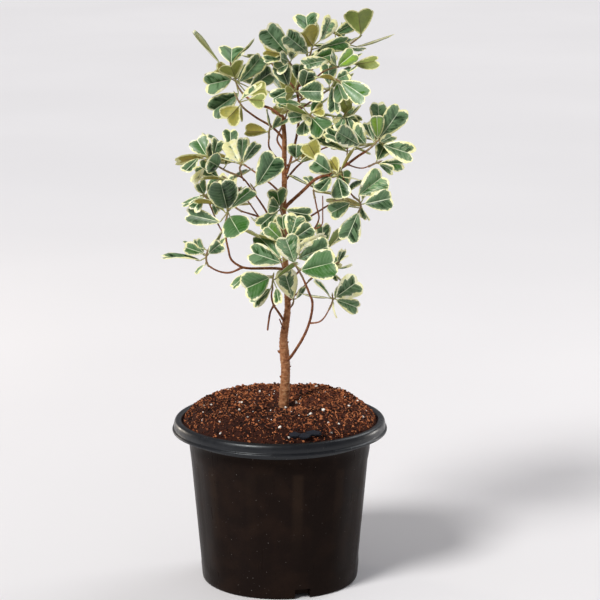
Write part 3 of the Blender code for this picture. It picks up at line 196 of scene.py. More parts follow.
# Leafy shoots: the twig that each grows on, the points of its path, how many leaves are
# behind it, and the leaves towards the viewer. Each line of those has the foot of a blade
# (right, up), its tip (right, up), how far the tip comes towards the viewer, its width,
# its turn about its midrib in degrees (0 shows the upper side, 180 the underside), for
# some the fold along the midrib in degrees, and its look.
SHOOTS = {
    "left_crown": ("left_upper", "-41 503 -14, -44 514 -13, -47 523 -12", 3, """
-58 525 -85 556 -6 20 75 olive
-47 525 -46 541 -20 26 0 grey
-41 502 -48 524 16 25 180 under
-47 510 -63 520 -6 18 155 under
-43 498 -74 503 4 24 0 26 grey
-40 495 -68 476 8 24 0 24 dark
-39 507 -17 533 2 20 30 grey
-32 497 -28 515 -16 20 0 dark
-29 501 -6 517 -6 18 20 dark
-38 535 -24 549 -8 14 80 olive
-32 496 -12 500 6 17 175 under
"""),
    "left_crown_low": ("left_lower", "-36 482 9, -40 488 9, -43 494 8", 1, """
-37 484 -53 468 6 22 180 under
-30 489 -14 488 8 16 165 under
-27 473 -36 467 4 12 100 pale
"""),
    "inner_left": ("left_inner", "-10 457 14, -9 462 15", 1, """
-12 457 -34 458 4 17 140 olive
-9 461 -13 480 0 12 80 slate
-7 460 0 473 -4 12 60 dark
"""),
    "crown_top": ("top", "26 524 2, 31 535 3, 32 545 3, 29 553 2", 4, """
28 556 26 573 -20 25 0 grey
33 542 22 557 20 30 180 3 under
28 535 5 554 14 19 25 striped
40 547 52 570 2 17 25 marbled
39 540 69 547 2 17 30 green
33 528 56 535 8 16 20 green
25 523 46 529 16 13 60 pale
30 525 20 542 12 12 95 olive
"""),
    "crown_left": ("top_left", "13 522 12, 8 529 14, 5 536 15", 2, """
8 534 -15 561 2 24 0 grey
8 535 -3 555 -6 15 125 olive
5 532 -16 538 -4 18 150 olive
2 528 -16 528 -2 14 60 dark
19 527 0 531 12 14 30 grey
13 521 -4 518 6 14 20 dark
"""),
    "crown_right": ("top_right", "52 538 -12, 62 539 -13, 70 544 -13, 78 550 -12", 2, """
55 554 73 564 0 14 30 green
80 553 77 577 8 28 180 under
76 541 111 553 -4 18 84 olive
60 545 62 563 -8 12 60 green
64 542 84 538 -6 12 70 green
"""),
    "upper_right": ("upper_right", "52 510 20, 58 508 21, 62 504 22", 2, """
61 507 87 490 6 20 0 frost
46 506 64 487 4 18 30 frost
51 512 69 515 10 14 20 grey
52 502 55 475 -2 14 30 dark
60 498 69 477 -4 13 160 olive
"""),
    "trunk_side": ("trunk_spur", "15 428 10, 18 430 12", 1, """
9 429 17 446 4 19 10 dark
22 430 31 444 0 14 165 under
21 427 34 433 8 12 60 olive
"""),
    "upper_right_tip": ("upper_right_spur", "52 520 8, 61 522 7, 69 524 6", 1, """
58 522 75 536 6 16 0 young
74 524 98 528 -2 16 145 olive
50 516 51 535 -4 12 60 grey
48 528 22 522 10 15 30 pale
"""),
    "mid_upper": ("mid_upper_spur", "19 495 8, 13 499 10, 9 502 11", 1, """
9 503 0 525 -4 18 0 black
10 499 -8 489 4 15 20 dark
19 508 20 525 2 16 20 black
24 501 29 519 -8 18 10 black
26 489 44 497 10 20 0 dark
18 487 6 495 10 14 170 brown
9 497 3 479 2 15 160 under
"""),
    "mid": ("mid_spur", "28 475 10, 33 472 13", 2, """
27 474 46 456 10 24 0 green
20 480 24 467 14 13 0 yellow
18 481 8 471 12 14 10 grey
22 484 -4 485 6 13 40 green
25 468 24 453 4 15 25 dark
33 476 44 481 6 14 160 under
"""),
    "right_riser": ("right_riser", "65 459 13, 62 468 13, 66 477 13", 2, """
77 485 80 467 -4 12 40 dark
62 475 77 471 6 12 60 grey
56 473 58 457 6 12 10 grey
46 470 54 464 8 10 150 yellow
66 473 72 455 4 14 20 dark
62 467 44 449 2 13 30 striped
"""),
    "right_tip": ("right", "92 443 19, 97 448 19, 101 453 19", 3, """
99 451 121 482 -4 22 10 slate
100 453 97 487 -8 18 25 grey
97 451 96 474 6 14 0 young
103 444 134 434 8 20 0 striped
100 447 113 454 12 12 40 grey
86 443 86 467 -8 14 35 dark
85 445 70 463 2 19 0 striped
79 444 56 458 8 20 10 striped
76 443 44 457 0 15 40 dark
66 438 31 454 -8 13 60 dark
"""),
    "right_side": ("right_side", "93 425 20, 98 427 20", 1, """
94 435 124 425 0 15 30 green
93 428 113 417 2 15 55 dark
"""),
    "right_hanging": ("right_hanging", "79 388 21, 81 383 21, 79 378 21", 2, """
79 394 104 414 -6 26 0 22 pale
79 390 112 391 4 21 10 dark
70 386 49 375 8 17 0 grey
78 376 66 347 6 21 0 slate
62 390 49 388 2 11 60 dark
74 381 88 369 -6 13 60 dark
"""),
    "right_near": ("right_spur", "56 413 23, 60 415 26", 1, """
51 417 32 430 8 20 0 grey
51 412 38 397 2 15 30 dark
58 411 63 390 12 20 0 22 dark
63 412 80 409 0 9 85 yellow
62 421 50 431 -8 13 165 under
38 429 28 447 0 19 175 under
"""),
    "inner_right": ("inner_right", "34 398 10, 36 403 10", 2, """
34 399 27 413 -4 12 40 dark
"""),
    "left_far": ("left_middle", "-52 418 24, -62 424 22, -70 431 21", 3, """
-72 433 -103 427 4 18 120 yellow
-72 434 -82 451 -12 20 0 green
-65 434 -60 450 -12 15 20 dark
-80 431 -94 417 0 14 40 dark
-44 414 -72 430 12 23 0 24 slate
-74 421 -86 406 0 10 30 yellow
-66 428 -71 444 -4 13 60 dark
"""),
    "left_rising": ("left_rising_spur", "-39 421 27, -37 427 26", 2, """
-42 421 -50 448 -6 18 20 cream
-40 421 -36 452 0 15 30 grey
-33 417 -21 447 2 14 35 dark
"""),
    "left_near": ("left_near_spur", "-25 400 22, -27 403 23", 1, """
-22 404 -2 435 4 25 0 dark
"""),
    "left_inner": ("left_middle_low", "-47 407 17, -53 411 15", 2, """
-60 411 -81 425 -4 17 20 dark
-45 401 -54 393 2 10 60 dark
"""),
    "left_low": ("left_low", "-52 373 19, -51 381 18, -54 388 17", 2, """
-52 381 -59 411 6 30 0 20 black
-45 374 -26 400 4 16 35 green
-59 367 -93 375 6 16 35 dark
-54 370 -64 383 0 10 100 olive
-49 372 -38 353 16 29 0 green
"""),
    "left_far_low": ("left_far_low", "-72 391 10, -76 396 10", 1, """
-66 394 -80 408 0 16 40 dark
-70 390 -97 384 0 13 65 grey
-70 389 -86 378 6 14 20 grey
-66 387 -60 376 4 11 40 dark
"""),
    "fork": ("fork_spur", "1 379 8, 2 383 9", 0, """
0 378 -3 401 -4 20 0 green
7 379 33 374 10 16 30 black
-3 366 -12 384 4 17 10 dark
-3 364 -21 361 8 14 20 dark
"""),
    "left_bottom": ("left_bottom", "-73 329 19, -72 336 19, -69 342 18", 2, """
-79 328 -118 331 2 15 70 slate
-74 326 -95 342 2 14 25 green
-76 334 -83 350 -4 12 45 grey
-73 343 -58 358 0 11 75 olive
-66 326 -57 346 4 15 15 dark
-74 324 -84 314 2 8 60 green
"""),
    "front": ("front", "18 320 35, 14 327 36, 12 336 36, 9 346 34, 5 354 31", 2, """
22 318 58 327 10 29 0 green
19 330 51 343 2 23 10 slate
15 326 5 354 10 23 0 pale
1 326 -31 337 4 21 10 grey
1 330 -22 354 0 19 15 green
3 348 -13 364 4 16 0 light
4 359 3 375 -4 14 15 green
11 352 18 375 -2 20 0 marbled
14 350 33 363 4 17 10 dark
24 346 46 355 2 12 50 speckled
19 343 32 349 10 10 40 speckled
"""),
    "low_left": ("low_left", "-7 306 18, -6 313 21", 2, """
-4 317 -37 298 10 29 0 20 green
-9 299 -28 283 4 16 35 striped
-34 315 -48 300 0 12 50 green
-3 300 0 283 4 10 20 green
"""),
    "low_middle": ("low_spur", "14 286 8, 14 289 9", 0, """
13 289 4 320 10 21 0 wide
17 289 24 302 -4 11 60 dark
"""),
    "low_right": ("low_right", "40 316 14, 50 321 15, 57 325 15", 2, """
57 320 73 324 2 9 75 pale
58 326 64 340 0 11 50 dark
50 318 60 307 -4 12 60 green
46 323 50 342 -8 14 60 green
"""),
    "front_right": ("front_right", "53 286 24, 53 291 24", 2, """
54 285 80 308 6 24 0 margined
53 280 80 279 4 16 25 grey
50 287 34 308 0 12 70 pale
44 278 58 269 4 10 80 cream
"""),
    "back_upper": ("back_upper", "9 479 -36, 10 486 -40, 8 493 -43", 7, ""),
    "back_right": ("back_right", "58 446 -33, 66 449 -37, 73 454 -39", 7, ""),
    "back_left": ("back_left", "-41 428 -35, -48 433 -39, -55 439 -41", 7, ""),
    "back_low": ("back_low", "-5 343 -31, -7 350 -36, -8 358 -38", 7, ""),
    "back_low_right": ("back_low_right", "41 333 -30, 46 339 -34", 6, ""),
    "back_crown_left": ("back_crown_left", "-6 523 -22, -10 529 -25", 6, ""),
    "back_crown_right": ("back_crown_right", "46 497 -22, 52 501 -25", 6, ""),
    "back_mid_left": ("back_mid_left", "-47 384 -23, -54 390 -25", 6, ""),
    "back_mid_right": ("back_mid_right", "60 391 -24, 68 397 -26", 6, ""),
}

# How a leaf looks: tone (0 darkest, 1 youngest green), grey-green share, olive share,
# width of the cream margin in millimetres, and how far cream breaks into the green
# The black and dark looks are partly painted shade, and slate is grey marbling with a painted grey
# sheen.
LOOKS = {
    "black": (0.02, 0.15, 0.0, 0.9, 0.0),
    "dark": (0.16, 0.30, 0.0, 1.1, 0.0),
    "slate": (0.12, 0.60, 0.0, 1.1, 0.0),
    "green": (0.52, 0.25, 0.0, 1.1, 0.0),
    "light": (0.75, 0.35, 0.0, 1.3, 0.1),
    "young": (1.0, 0.0, 0.1, 0.7, 0.0),
    "grey": (0.32, 0.85, 0.0, 1.3, 0.0),
    "pale": (0.45, 1.0, 0.0, 1.8, 0.3),
    "frost": (0.62, 1.3, 0.0, 0.9, 0.0),
    "marbled": (0.30, 0.90, 0.0, 1.9, 0.5),
    "striped": (0.25, 0.80, 0.0, 1.5, 0.2),
    "olive": (0.50, 0.10, 0.75, 1.0, 0.0),
    "brown": (0.25, 0.20, 0.9, 0.8, 0.0),
    "yellow": (0.60, 0.10, 0.60, 3.6, 0.4),
    "wide": (0.25, 0.45, 0.0, 3.2, 0.2),
    "margined": (0.20, 0.50, 0.0, 2.2, 0.1),
    "cream": (0.45, 0.60, 0.0, 5.5, 0.6),
    "speckled": (0.15, 0.20, 0.30, 3.2, 1.0),
    "under": (0.45, 0.30, 0.0, 1.3, 0.0),
}
FAR_LOOKS = ["dark", "slate", "green", "grey", "dark", "wide", "green", "marbled"]


def seen(right, up, towards):
    """The point that the viewer sees right and up of the axis, leaning forward."""
    flat = Vector((right, 0.0, up))
    return flat + (EYE - flat) * (towards / -EYE.y)


def twig_path(route):
    """The points of a twig: the crown is nearly as deep as it is wide."""
    path = []
    for point in route.split(","):
        right, up, towards = map(float, point.split())
        path.append(seen(right, up, towards * DEPTH_SPREAD))
    return path


def tapered(first, last, count):
    return [first + (last - first) * index / (count - 1) for index in range(count)]


def show(name, data):
    shown = bpy.data.objects.new(name, data)
    bpy.context.scene.collection.objects.link(shown)
    return shown


class Bunch:
    """Points, faces, materials and painted values of one piece, gathered bit by bit."""

    def __init__(self):
        self.points = []
        self.faces = []
        self.slots = []
        self.values = {}
        self.count = 0

    def add(self, points, faces, slots, **values):
        points = np.asarray(points, float).reshape(-1, 3)
        start = self.count
        self.points.append(points)
        self.faces.extend([[corner + start for corner in face] for face in faces])
        self.slots.extend(slots if isinstance(slots, list) else [slots] * len(faces))
        for name, value in values.items():
            value = np.asarray(value, float)
            if value.ndim == 1:
                value = np.tile(value, (len(points), 1))
            self.values.setdefault(name, []).append(value)
        self.count += len(points)

    def make(self, name, materials, sharp=SHARP_EDGE):
        mesh = bpy.data.meshes.new(name)
        points = np.concatenate(self.points) * MM
        mesh.from_pydata(points.tolist(), [], self.faces)
        for material in materials:
            mesh.materials.append(material)
        mesh.polygons.foreach_set("material_index", self.slots)
        for key, rows in self.values.items():
            layer = mesh.attributes.new(key, "FLOAT_VECTOR", "POINT")
            layer.data.foreach_set("vector", np.concatenate(rows).astype(np.float32).ravel())
        mesh.update()
        mesh.shade_smooth()
        mesh.set_sharp_from_angle(angle=math.radians(sharp))
        return show(name, mesh)


def tube_mesh(path, radii, sides, first_way=None):
    """A closed round stem through the path, with flat ends."""
    last = len(path) - 1
    points = []
    across = None
    for index, centre in enumerate(path):
        way = (path[min(index + 1, last)] - path[max(index - 1, 0)]).normalized()
        if index == 0 and first_way is not None:
            way = first_way
        if across is None:
            guide = Vector((0, 1, 0)) if abs(way.y) < 0.8 else Vector((1, 0, 0))
            across = way.cross(guide).normalized()
        else:
            across = (across - way * across.dot(way)).normalized()
        upright = way.cross(across)
        for side in range(sides):
            angle = math.tau * side / sides
            spoke = across * math.cos(angle) + upright * math.sin(angle)
            points.append(centre + spoke * radii[index])
    faces = [list(range(sides))[::-1]]
    for ring in range(last):
        for side in range(sides):
            here = ring * sides + side
            there = ring * sides + (side + 1) % sides
            faces.append([here, there, there + sides, here + sides])
    faces.append([last * sides + side for side in range(sides)])
    return points, faces


def smooth_line(path, radii, step):
    """A curve through the points with a ring every step, and its radius there."""
    line = []
    sizes = []
    last = len(path) - 1
    for index in range(last):
        before = path[max(index - 1, 0)]
        start = path[index]
        end = path[index + 1]
        after = path[min(index + 2, last)]
        count = max(2, round((end - start).length / step))
        for part in range(count):
            share = part / count
            square = share * share
            cube = square * share
            line.append((start * 2.0 + (end - before) * share
                         + (before * 2.0 - start * 5.0 + end * 4.0 - after) * square
                         + (start * 3.0 - before - end * 3.0 + after) * cube) * 0.5)
            sizes.append(radii[index] + (radii[index + 1] - radii[index]) * share)
    return line + [path[-1]], sizes + [radii[-1]]


def round_end(line, sizes):
    """Adds a small ring that rounds the end off."""
    way = (line[-1] - line[-2]).normalized()
    return line + [line[-1] + way * (sizes[-1] * 0.6)], sizes + [sizes[-1] * 0.45]


# Tries of a leaf, in order, until it is clear of its neighbours: more towards the viewer
# in millimetres, more turn in degrees, and its length
LEAF_TRIES = [
    (move, turn, length)
    for length in (1.0, 0.85, 0.7)
    for turn in (0, 20, -20, 40, -40)
    for move in (0, 4, -4, 8, -8, 13, -13, 18, -18, 24, -24)
]
# Solid blades of narrow and of wide leaves: the points of the outline as along and
# aside, the triangles, and the order of the points round the edge
NARROW_BLADE = ([(1.0, -0.82), (1.0, 0.0), (1.0, 0.82)],
                [(0, 3, 2), (0, 1, 3), (1, 4, 3)], [0, 2, 3, 4, 1])
WIDE_BLADE = ([(0.5, -1.0), (1.0, -0.82), (1.0, 0.0), (1.0, 0.82), (0.5, 1.0), (0.5, 0.0)],
              [(0, 7, 2), (0, 1, 7), (7, 1, 6), (2, 4, 3), (2, 7, 4), (7, 6, 4), (4, 6, 5)],
              [0, 2, 3, 4, 5, 6, 1])


def shoot_line(shoot):
    """The points of a shoot's stem, and its way: it starts a gap beyond its twig's end."""
    twig, route = SHOOTS[shoot][:2]
    twig_end = twig_path(TWIGS[twig][2])
    way = (twig_end[-1] - twig_end[-2]).normalized()
    return [twig_end[-1] + way * GAP] + twig_path(route), way


class Leaf:
    """Where one leaf stands: its stem point, the foot and tip of its blade, its faces."""

    def __init__(self, stem, foot, tip, width, turn, face, draw, look=None, narrow=True):
        self.stem = stem
        self.foot = foot
        self.along = tip - foot
        self.length = self.along.length
        self.along = self.along / self.length
        upper = (face - self.along * face.dot(self.along)).normalized()
        across = self.along.cross(upper)
        self.upper = upper * math.cos(turn) + across * math.sin(turn)
        self.across = self.along.cross(self.upper)
        self.width = width
        self.fold, self.arch = draw
        self.look = look
        self.narrow = narrow


def apex_line(aside):
    """How far up the blade its end reaches, from the notch (0) to the corner (1)."""
    if aside < LOBE:
        return 1.0 - APEX_NOTCH * (1.0 - aside / LOBE) ** 2
    return 1.0 - APEX_CORNER * ((aside - LOBE) / (1.0 - LOBE)) ** APEX_CORNER_POWER


def half_width(along):
    """Half the width of the wedge-shaped blade, as a share of its greatest."""
    swell = math.sin(0.5 * math.pi * min(along / BLADE_FULL, 1.0)) ** BLADE_SWELL
    return BLADE_FOOT_SHARE + (1.0 - BLADE_FOOT_SHARE) * swell


def blade_point(leaf, along, aside):
    """A point of the blade: along from foot (0) to end (1), aside from -1 to 1."""
    corner = abs(aside) * along ** 2
    reach = along * apex_line(corner)
    out = half_width(along) * leaf.width * 0.5 * abs(aside) * (1.0 - CORNER_ROUND * corner ** 3)
    side = math.copysign(1.0, aside) if aside else 0.0
    rise = leaf.arch * leaf.length * 4.0 * reach * (1.0 - reach)
    point = leaf.foot + leaf.along * (leaf.length * reach) + leaf.upper * rise
    fold = leaf.across * (math.cos(leaf.fold) * side) + leaf.upper * math.sin(leaf.fold)
    return point + fold * out


def blade_mesh(leaf, thickness, grown_free=0.0):
    """The leaf's solid: a thin closed blade with its petiole.

    grown_free leaves out the first millimetres at the stem, where a leaf may touch others.
    """
    half_stalk = leaf.across * (PETIOLE_WIDTH * 0.5)
    half_root = leaf.across * (ROOT_WIDTH * 0.5)
    petiole = leaf.foot - leaf.stem
    rim, triangles, edge = NARROW_BLADE if leaf.narrow else WIDE_BLADE
    surface = [leaf.foot - half_stalk, leaf.foot + half_stalk]
    surface += [blade_point(leaf, along, aside) for along, aside in rim]
    normals = [leaf.upper] * len(surface)
    if petiole.length > SMALLEST_PETIOLE:
        way = petiole.normalized()
        lift = way.cross(leaf.across)
        if lift.dot(leaf.upper) < 0:
            lift = -lift
        if lift.length < 0.3:
            lift = leaf.upper
        start = leaf.stem + way * grown_free
        last = len(surface)
        surface += [start - half_root, start + half_root]
        normals += [lift.normalized()] * 2
        triangles = triangles + [(last, 1, 0), (last, last + 1, 1)]
        edge = edge + [last + 1, last]
    else:
        start = leaf.foot + leaf.along * grown_free if grown_free else leaf.stem
        surface[:2] = [start - half_root, start + half_root]
    count = len(surface)
    half = thickness * 0.5
    points = [point + normal * half for point, normal in zip(surface, normals)]
    points += [point - normal * half for point, normal in zip(surface, normals)]
    faces = [list(face) for face in triangles]
    faces += [[corner + count for corner in reversed(face)] for face in triangles]
    for start, end in zip(edge, edge[1:] + edge[:1]):
        faces += [[start, end, end + count], [start, end + count, start + count]]
    return points, faces


def closest_root(path, foot, tip, number):
    """The stem point that a leaf grows from: near its foot, and not doubling back.

    Each leaf of a shoot has its own place between the path's points.
    """
    turns = [number * GOLDEN_SHARE + 0.3 * step for step in range(len(path))]
    shares = [0.25 + 0.5 * (turn % 1.0) for turn in turns]
    spots = [start.lerp(end, share) for start, end, share in zip(path, path[1:], shares)]
    spots.append(path[-1].lerp(path[-2], 0.04 + 0.12 * shares[-1]))
    blade = (tip - foot).normalized()

    def cost(spot):
        stalk = foot - spot
        bend = 1.0 - stalk.normalized().dot(blade) if stalk.length > 0.5 else 1.0
        return stalk.length + BEND_COST * bend

    return min(spots[1:], key=cost)


def front_leaf(row, number, path, draw, move, turn, scale):
    """A leaf as the viewer sees it, leaning forward by its own amount and the move."""
    *sizes, look = row.split()
    right, up, tip_right, tip_up, towards, width, roll, *fold = map(float, sizes)
    near = min(path[1:], key=lambda point: (point - seen(right, up, -point.y)).length)
    depth = -near.y
    foot = seen(right, up, depth + FOOT_LEAN * (towards + move))
    tip_right = right + (tip_right - right) * scale
    tip_up = up + (tip_up - up) * scale
    tip = seen(tip_right, tip_up, depth + (towards + move) * scale)
    root = closest_root(path, foot, tip, number)
    if (foot - root).normalized().dot((tip - foot).normalized()) < LEAST_STRAIGHT:
        foot = root.lerp(tip, FOOT_SHARE)
    if fold:
        draw = (math.radians(fold[0]), draw[1])
    face = (EYE - foot).normalized()
    wide = width * SEEN_WIDTH * (0.5 + 0.5 * scale)
    turn = math.radians(roll + turn)
    return Leaf(root, foot, tip, wide, turn, face, draw, look, width < NARROW_WIDTH)


def far_leaf(number, total, path, draw, sizes, move, turn, scale):
    """A leaf on the far side: a golden-angle rule, behind what the viewer sees."""
    length, width, lift = sizes
    place = 1.0 + (len(path) - 2) * (number + 0.6) / (total + 0.4)
    step = min(int(place), len(path) - 2)
    spot = path[step].lerp(path[step + 1], place - step)
    angle = GOLDEN_ANGLE * number + 0.7
    deep = FAR_REACH * (0.35 + 0.65 * ((number * GOLDEN_SHARE + 0.5) % 1.0)) - move
    away = Vector((math.cos(angle) * FAR_SPREAD, deep, math.sin(angle) * FAR_SPREAD + lift))
    away = away.normalized()
    foot = spot + away * FAR_PETIOLE
    tip = foot + away * (length * scale)
    return Leaf(spot, foot, tip, width * scale, math.radians(turn), FAR_FACE, draw)


def leaf_makers(shoot, path):
    """For each leaf in front of a shoot, and behind it, what gives its pose for a try."""
    draws = random.Random("shoot_" + shoot)
    _twig, _route, behind, rows = SHOOTS[shoot]
    front = []
    for number, row in enumerate(rows.strip().splitlines()):
        draw = (math.radians(draws.uniform(*FOLDS)), draws.uniform(*ARCHES))
        front.append(partial(front_leaf, row, number, path, draw))
    far = []
    for number in range(behind):
        draw = (math.radians(draws.uniform(*FOLDS)), draws.uniform(*FAR_ARCHES))
        sizes = [draws.uniform(*limits) for limits in (FAR_LENGTHS, FAR_WIDTHS, FAR_LIFTS)]
        far.append(partial(far_leaf, number, behind, path, draw, sizes))
    return front, far


class Obstacle:
    """A solid that leaves keep clear of, with the ball that holds it.

    A leaf's slim solid lacks its root, where leaves of one stem may touch.
    """

    def __init__(self, owner, mesh, slim_mesh=None):
        points, faces = mesh
        self.owner = owner
        self.tree = BVHTree.FromPolygons(points, faces)
        self.slim_tree = BVHTree.FromPolygons(*slim_mesh) if slim_mesh else self.tree
        self.centre = sum(points, Vector()) / len(points)
        self.radius = max((point - self.centre).length for point in points)

    def meets(self, other):
        if (self.centre - other.centre).length > self.radius + other.radius:
            return False
        if self.owner == other.owner:
            return bool(self.slim_tree.overlap(other.slim_tree))
        return bool(self.tree.overlap(other.tree))


def wood_obstacles(path, radii, sides):
    """The pieces of a woody line, each a gap thicker than it is."""
    pieces = []
    for index in range(len(path) - 1):
        thick = [radius + GAP for radius in radii[index:index + 2]]
        pieces.append(Obstacle("wood", tube_mesh(path[index:index + 2], thick, sides)))
    return pieces


def leaf_obstacle(owner, leaf, thickness):
    return Obstacle(owner, blade_mesh(leaf, thickness), blade_mesh(leaf, thickness, ROOT_FREE))


def clear_pose(maker, owner, obstacles):
    """The first try that meets nothing, or else nothing of another shoot's."""
    spare = None
    for tried in LEAF_TRIES:
        leaf = maker(*tried)
        shape = leaf_obstacle(owner, leaf, BLADE_THICKNESS + BLADE_CLEARANCE)
        if any(shape.meets(other) for other in obstacles if other.owner != owner):
            continue
        family = sum(shape.meets(other) for other in obstacles if other.owner == owner)
        if family == 0:
            return leaf
        if spare is None or family < spare[0]:
            spare = (family, leaf)
    return spare[1] if spare else None


def place_leaves():
    """The pose of every leaf of every shoot, clear of all other solids."""
    obstacles = []
    for first, last, route in TWIGS.values():
        path = twig_path(route)
        obstacles += wood_obstacles(path, tapered(first, last, len(path)), STEM_FACES)
    trunk = [seen(*point[:3]) for point in TRUNK[1:]]
    obstacles += wood_obstacles(trunk, [point[3] for point in TRUNK[1:]], TRUNK_FACES)
    makers = {}
    for shoot in SHOOTS:
        path, way = shoot_line(shoot)
        radii = tapered(SHOOT_RADIUS, SHOOT_TIP_RADIUS, len(path))
        piece = tube_mesh(path, [radius + GAP for radius in radii], STEM_FACES, way)
        obstacles.append(Obstacle(shoot, piece))
        makers[shoot] = leaf_makers(shoot, path)
    placed = {shoot: [] for shoot in SHOOTS}
    # The leaves in front of every shoot find their place before any behind does
    for side in (FRONT, BEHIND):
        for shoot in SHOOTS:
            for maker in makers[shoot][side]:
                leaf = clear_pose(maker, shoot, obstacles)
                if leaf is not None:
                    placed[shoot].append(leaf)
                    obstacles.append(leaf_obstacle(shoot, leaf, BLADE_THICKNESS))
    return placed


# Finished leaves
FINE_HALF = 0.19
RIDGE = 0.28
GROOVE = 0.12
RIB_SPREAD = 0.7
PETIOLE_RADIUS = 0.62
STALK_SIDES = 6
STEM_RADIUS = 1.15
STEM_TIP_RADIUS = 0.85
STEM_SIDES = 8
BUD_LENGTH = 4.5
BUD_RINGS = [(0.12, 1.0), (0.3, 1.12), (0.55, 0.8), (0.8, 0.42), (1.0, 0.1)]
ROWS = [0, 0.05, 0.12, 0.21, 0.31, 0.42, 0.53, 0.64, 0.74, 0.83, 0.9, 0.95, 0.98, 1]
COLUMNS = [-1, -0.95, -0.83, -0.62, -0.36, -0.1, 0, 0.1, 0.36, 0.62, 0.83, 0.95, 1]
# What each blade draws for its own form, in this order
FORM_RANGES = {
    "notch": (0.03, 0.19),
    "lean": (-0.35, 0.35),
    "ragged": (0.015, 0.045),
    "phase": (0, math.tau),
    "wave": (0.25, 0.8),
    "droop": (-0.4, 1.4),
}


def blade_grid(leaf, form):
    """The finished blade's middle surface, its edge distance, and its own coordinates."""
    along, aside = np.meshgrid(np.array(ROWS), np.array(COLUMNS), indexing="ij")
    share = np.abs(aside)
    side = np.sign(aside)
    near = share * along ** 2
    middle = 1.0 - form["notch"] * (1.0 - np.minimum(near / LOBE, 1.0)) ** 2
    corner = np.clip((near - LOBE) / (1.0 - LOBE), 0, 1) ** APEX_CORNER_POWER
    reach = along * (middle - APEX_CORNER * corner * (1.0 + form["lean"] * side * share))
    swell = np.sin(0.5 * math.pi * np.minimum(along / BLADE_FULL, 1.0)) ** BLADE_SWELL
    widest = BLADE_FOOT_SHARE + (1.0 - BLADE_FOOT_SHARE) * swell
    ragged = 1.0 + form["ragged"] * np.sin(form["phase"] + 9.0 * along + side) * along
    out = widest * leaf.width * 0.5 * share * ragged * (1.0 - CORNER_ROUND * near ** 3)
    angle = leaf.fold * (1.35 - 0.35 * share)
    rise = leaf.arch * leaf.length * 4.0 * reach * (1.0 - reach)
    wave = form["wave"] * np.sin(form["phase"] + (6.5 + side) * along + 1.3 * side)
    puff = 0.060 + 0.020 * math.sin(3.0 * form["phase"])
    puff = puff * leaf.width * np.sin(math.pi * share) * np.sin(math.pi * along ** 0.8)
    droop = form["droop"] * reach ** 2 * share
    lift = np.sin(angle) * out + puff + wave * share ** 2 * along - droop
    flat = np.cos(angle) * out * side
    grid = (np.array(leaf.foot)
            + np.array(leaf.along) * (leaf.length * reach)[..., None]
            + np.array(leaf.across) * flat[..., None]
            + np.array(leaf.upper) * (rise + lift)[..., None])
    from_side = (1.0 - share) * widest * leaf.width * 0.5 * 0.92
    from_end = leaf.length * (middle - APEX_CORNER * corner) * (1.0 - along)
    own = np.stack([flat, leaf.length * reach, np.minimum(from_side, from_end)], axis=-1)
    return grid, own


def grid_normals(grid, upper):
    normal = np.cross(np.gradient(grid, axis=1), np.gradient(grid, axis=0))
    normal /= np.maximum(np.linalg.norm(normal, axis=-1, keepdims=True), 1e-9)
    return -normal if (normal @ np.array(upper)).mean() < 0 else normal


def add_blade(bunch, leaf, form, look, seed):
    """A blade whose two faces meet in a thin edge, with a groove above and a rib below."""
    grid, own = blade_grid(leaf, form)
    rows, columns = grid.shape[:2]
    normal = grid_normals(grid, leaf.upper)
    share = np.abs(np.array(COLUMNS))[None, :]
    along = np.array(ROWS)[:, None]
    thin = FINE_HALF * (1.0 - 0.45 * share ** 3) * (1.0 - 0.3 * along)
    rib = np.exp(-(own[..., 0] / RIB_SPREAD) ** 2) * (1.0 - 0.75 * along)
    upper = (grid + normal * (thin - GROOVE * rib)[..., None]).reshape(-1, 3)
    lower = (grid - normal * (thin + RIDGE * rib)[..., None]).reshape(-1, 3)
    count = rows * columns
    faces = []
    slots = []
    for row in range(rows - 1):
        for column in range(columns - 1):
            here = row * columns + column
            quad = [here, here + 1, here + columns + 1, here + columns]
            faces += [quad, [corner + count for corner in reversed(quad)]]
            slots += [0, 1]
    edge = list(range(columns))
    edge += [row * columns + columns - 1 for row in range(1, rows)]
    edge += [(rows - 1) * columns + column for column in range(columns - 2, -1, -1)]
    edge += [row * columns for row in range(rows - 2, 0, -1)]
    for start, end in zip(edge, edge[1:] + edge[:1]):
        faces.append([start, start + count, end + count, end])
        slots.append(0)
    one, two, three = [upper[corner] for corner in faces[0][:3]]
    if np.cross(two - one, three - one) @ normal[0, 0] < 0:
        faces = [face[::-1] for face in faces]
    tone, grey, olive, margin, broken = look
    bunch.add(np.concatenate([upper, lower]), faces, slots,
              blade=np.concatenate([own.reshape(-1, 3)] * 2),
              leaf_look=(tone, grey, olive), leaf_seed=(seed, margin, broken))


def add_stalk(bunch, line, sizes, sides, stem, seed):
    """A petiole (stem 0) or a shoot's stem (stem 1)."""
    points, faces = tube_mesh(line, sizes, sides)
    run = np.linspace(0.0, 1.0, len(line)).repeat(sides)
    stalk = np.stack([run * 0, run, run * 0 + stem], axis=-1)
    bunch.add(points, faces, 2, blade=stalk, leaf_look=(0.5, 0, 0), leaf_seed=(seed, 0, 0))


def add_petiole(bunch, leaf, seed):
    start = leaf.stem
    end = leaf.foot
    span = (end - start).length
    if span < 1.0:
        return
    beyond = end + leaf.along * (leaf.length * 0.12) - leaf.upper * (FINE_HALF + 0.1)
    sag = leaf.upper * (-0.06 * span)
    path = [start, start.lerp(end, 0.35) + sag, start.lerp(end, 0.72) + sag * 0.6,
            end - leaf.upper * 0.25, beyond]
    radii = [PETIOLE_RADIUS * share for share in (1.25, 1.0, 0.95, 0.85)] + [0.25]
    line, sizes = smooth_line(path, radii, 2.0)
    add_stalk(bunch, line, sizes, STALK_SIDES, 0.0, seed)


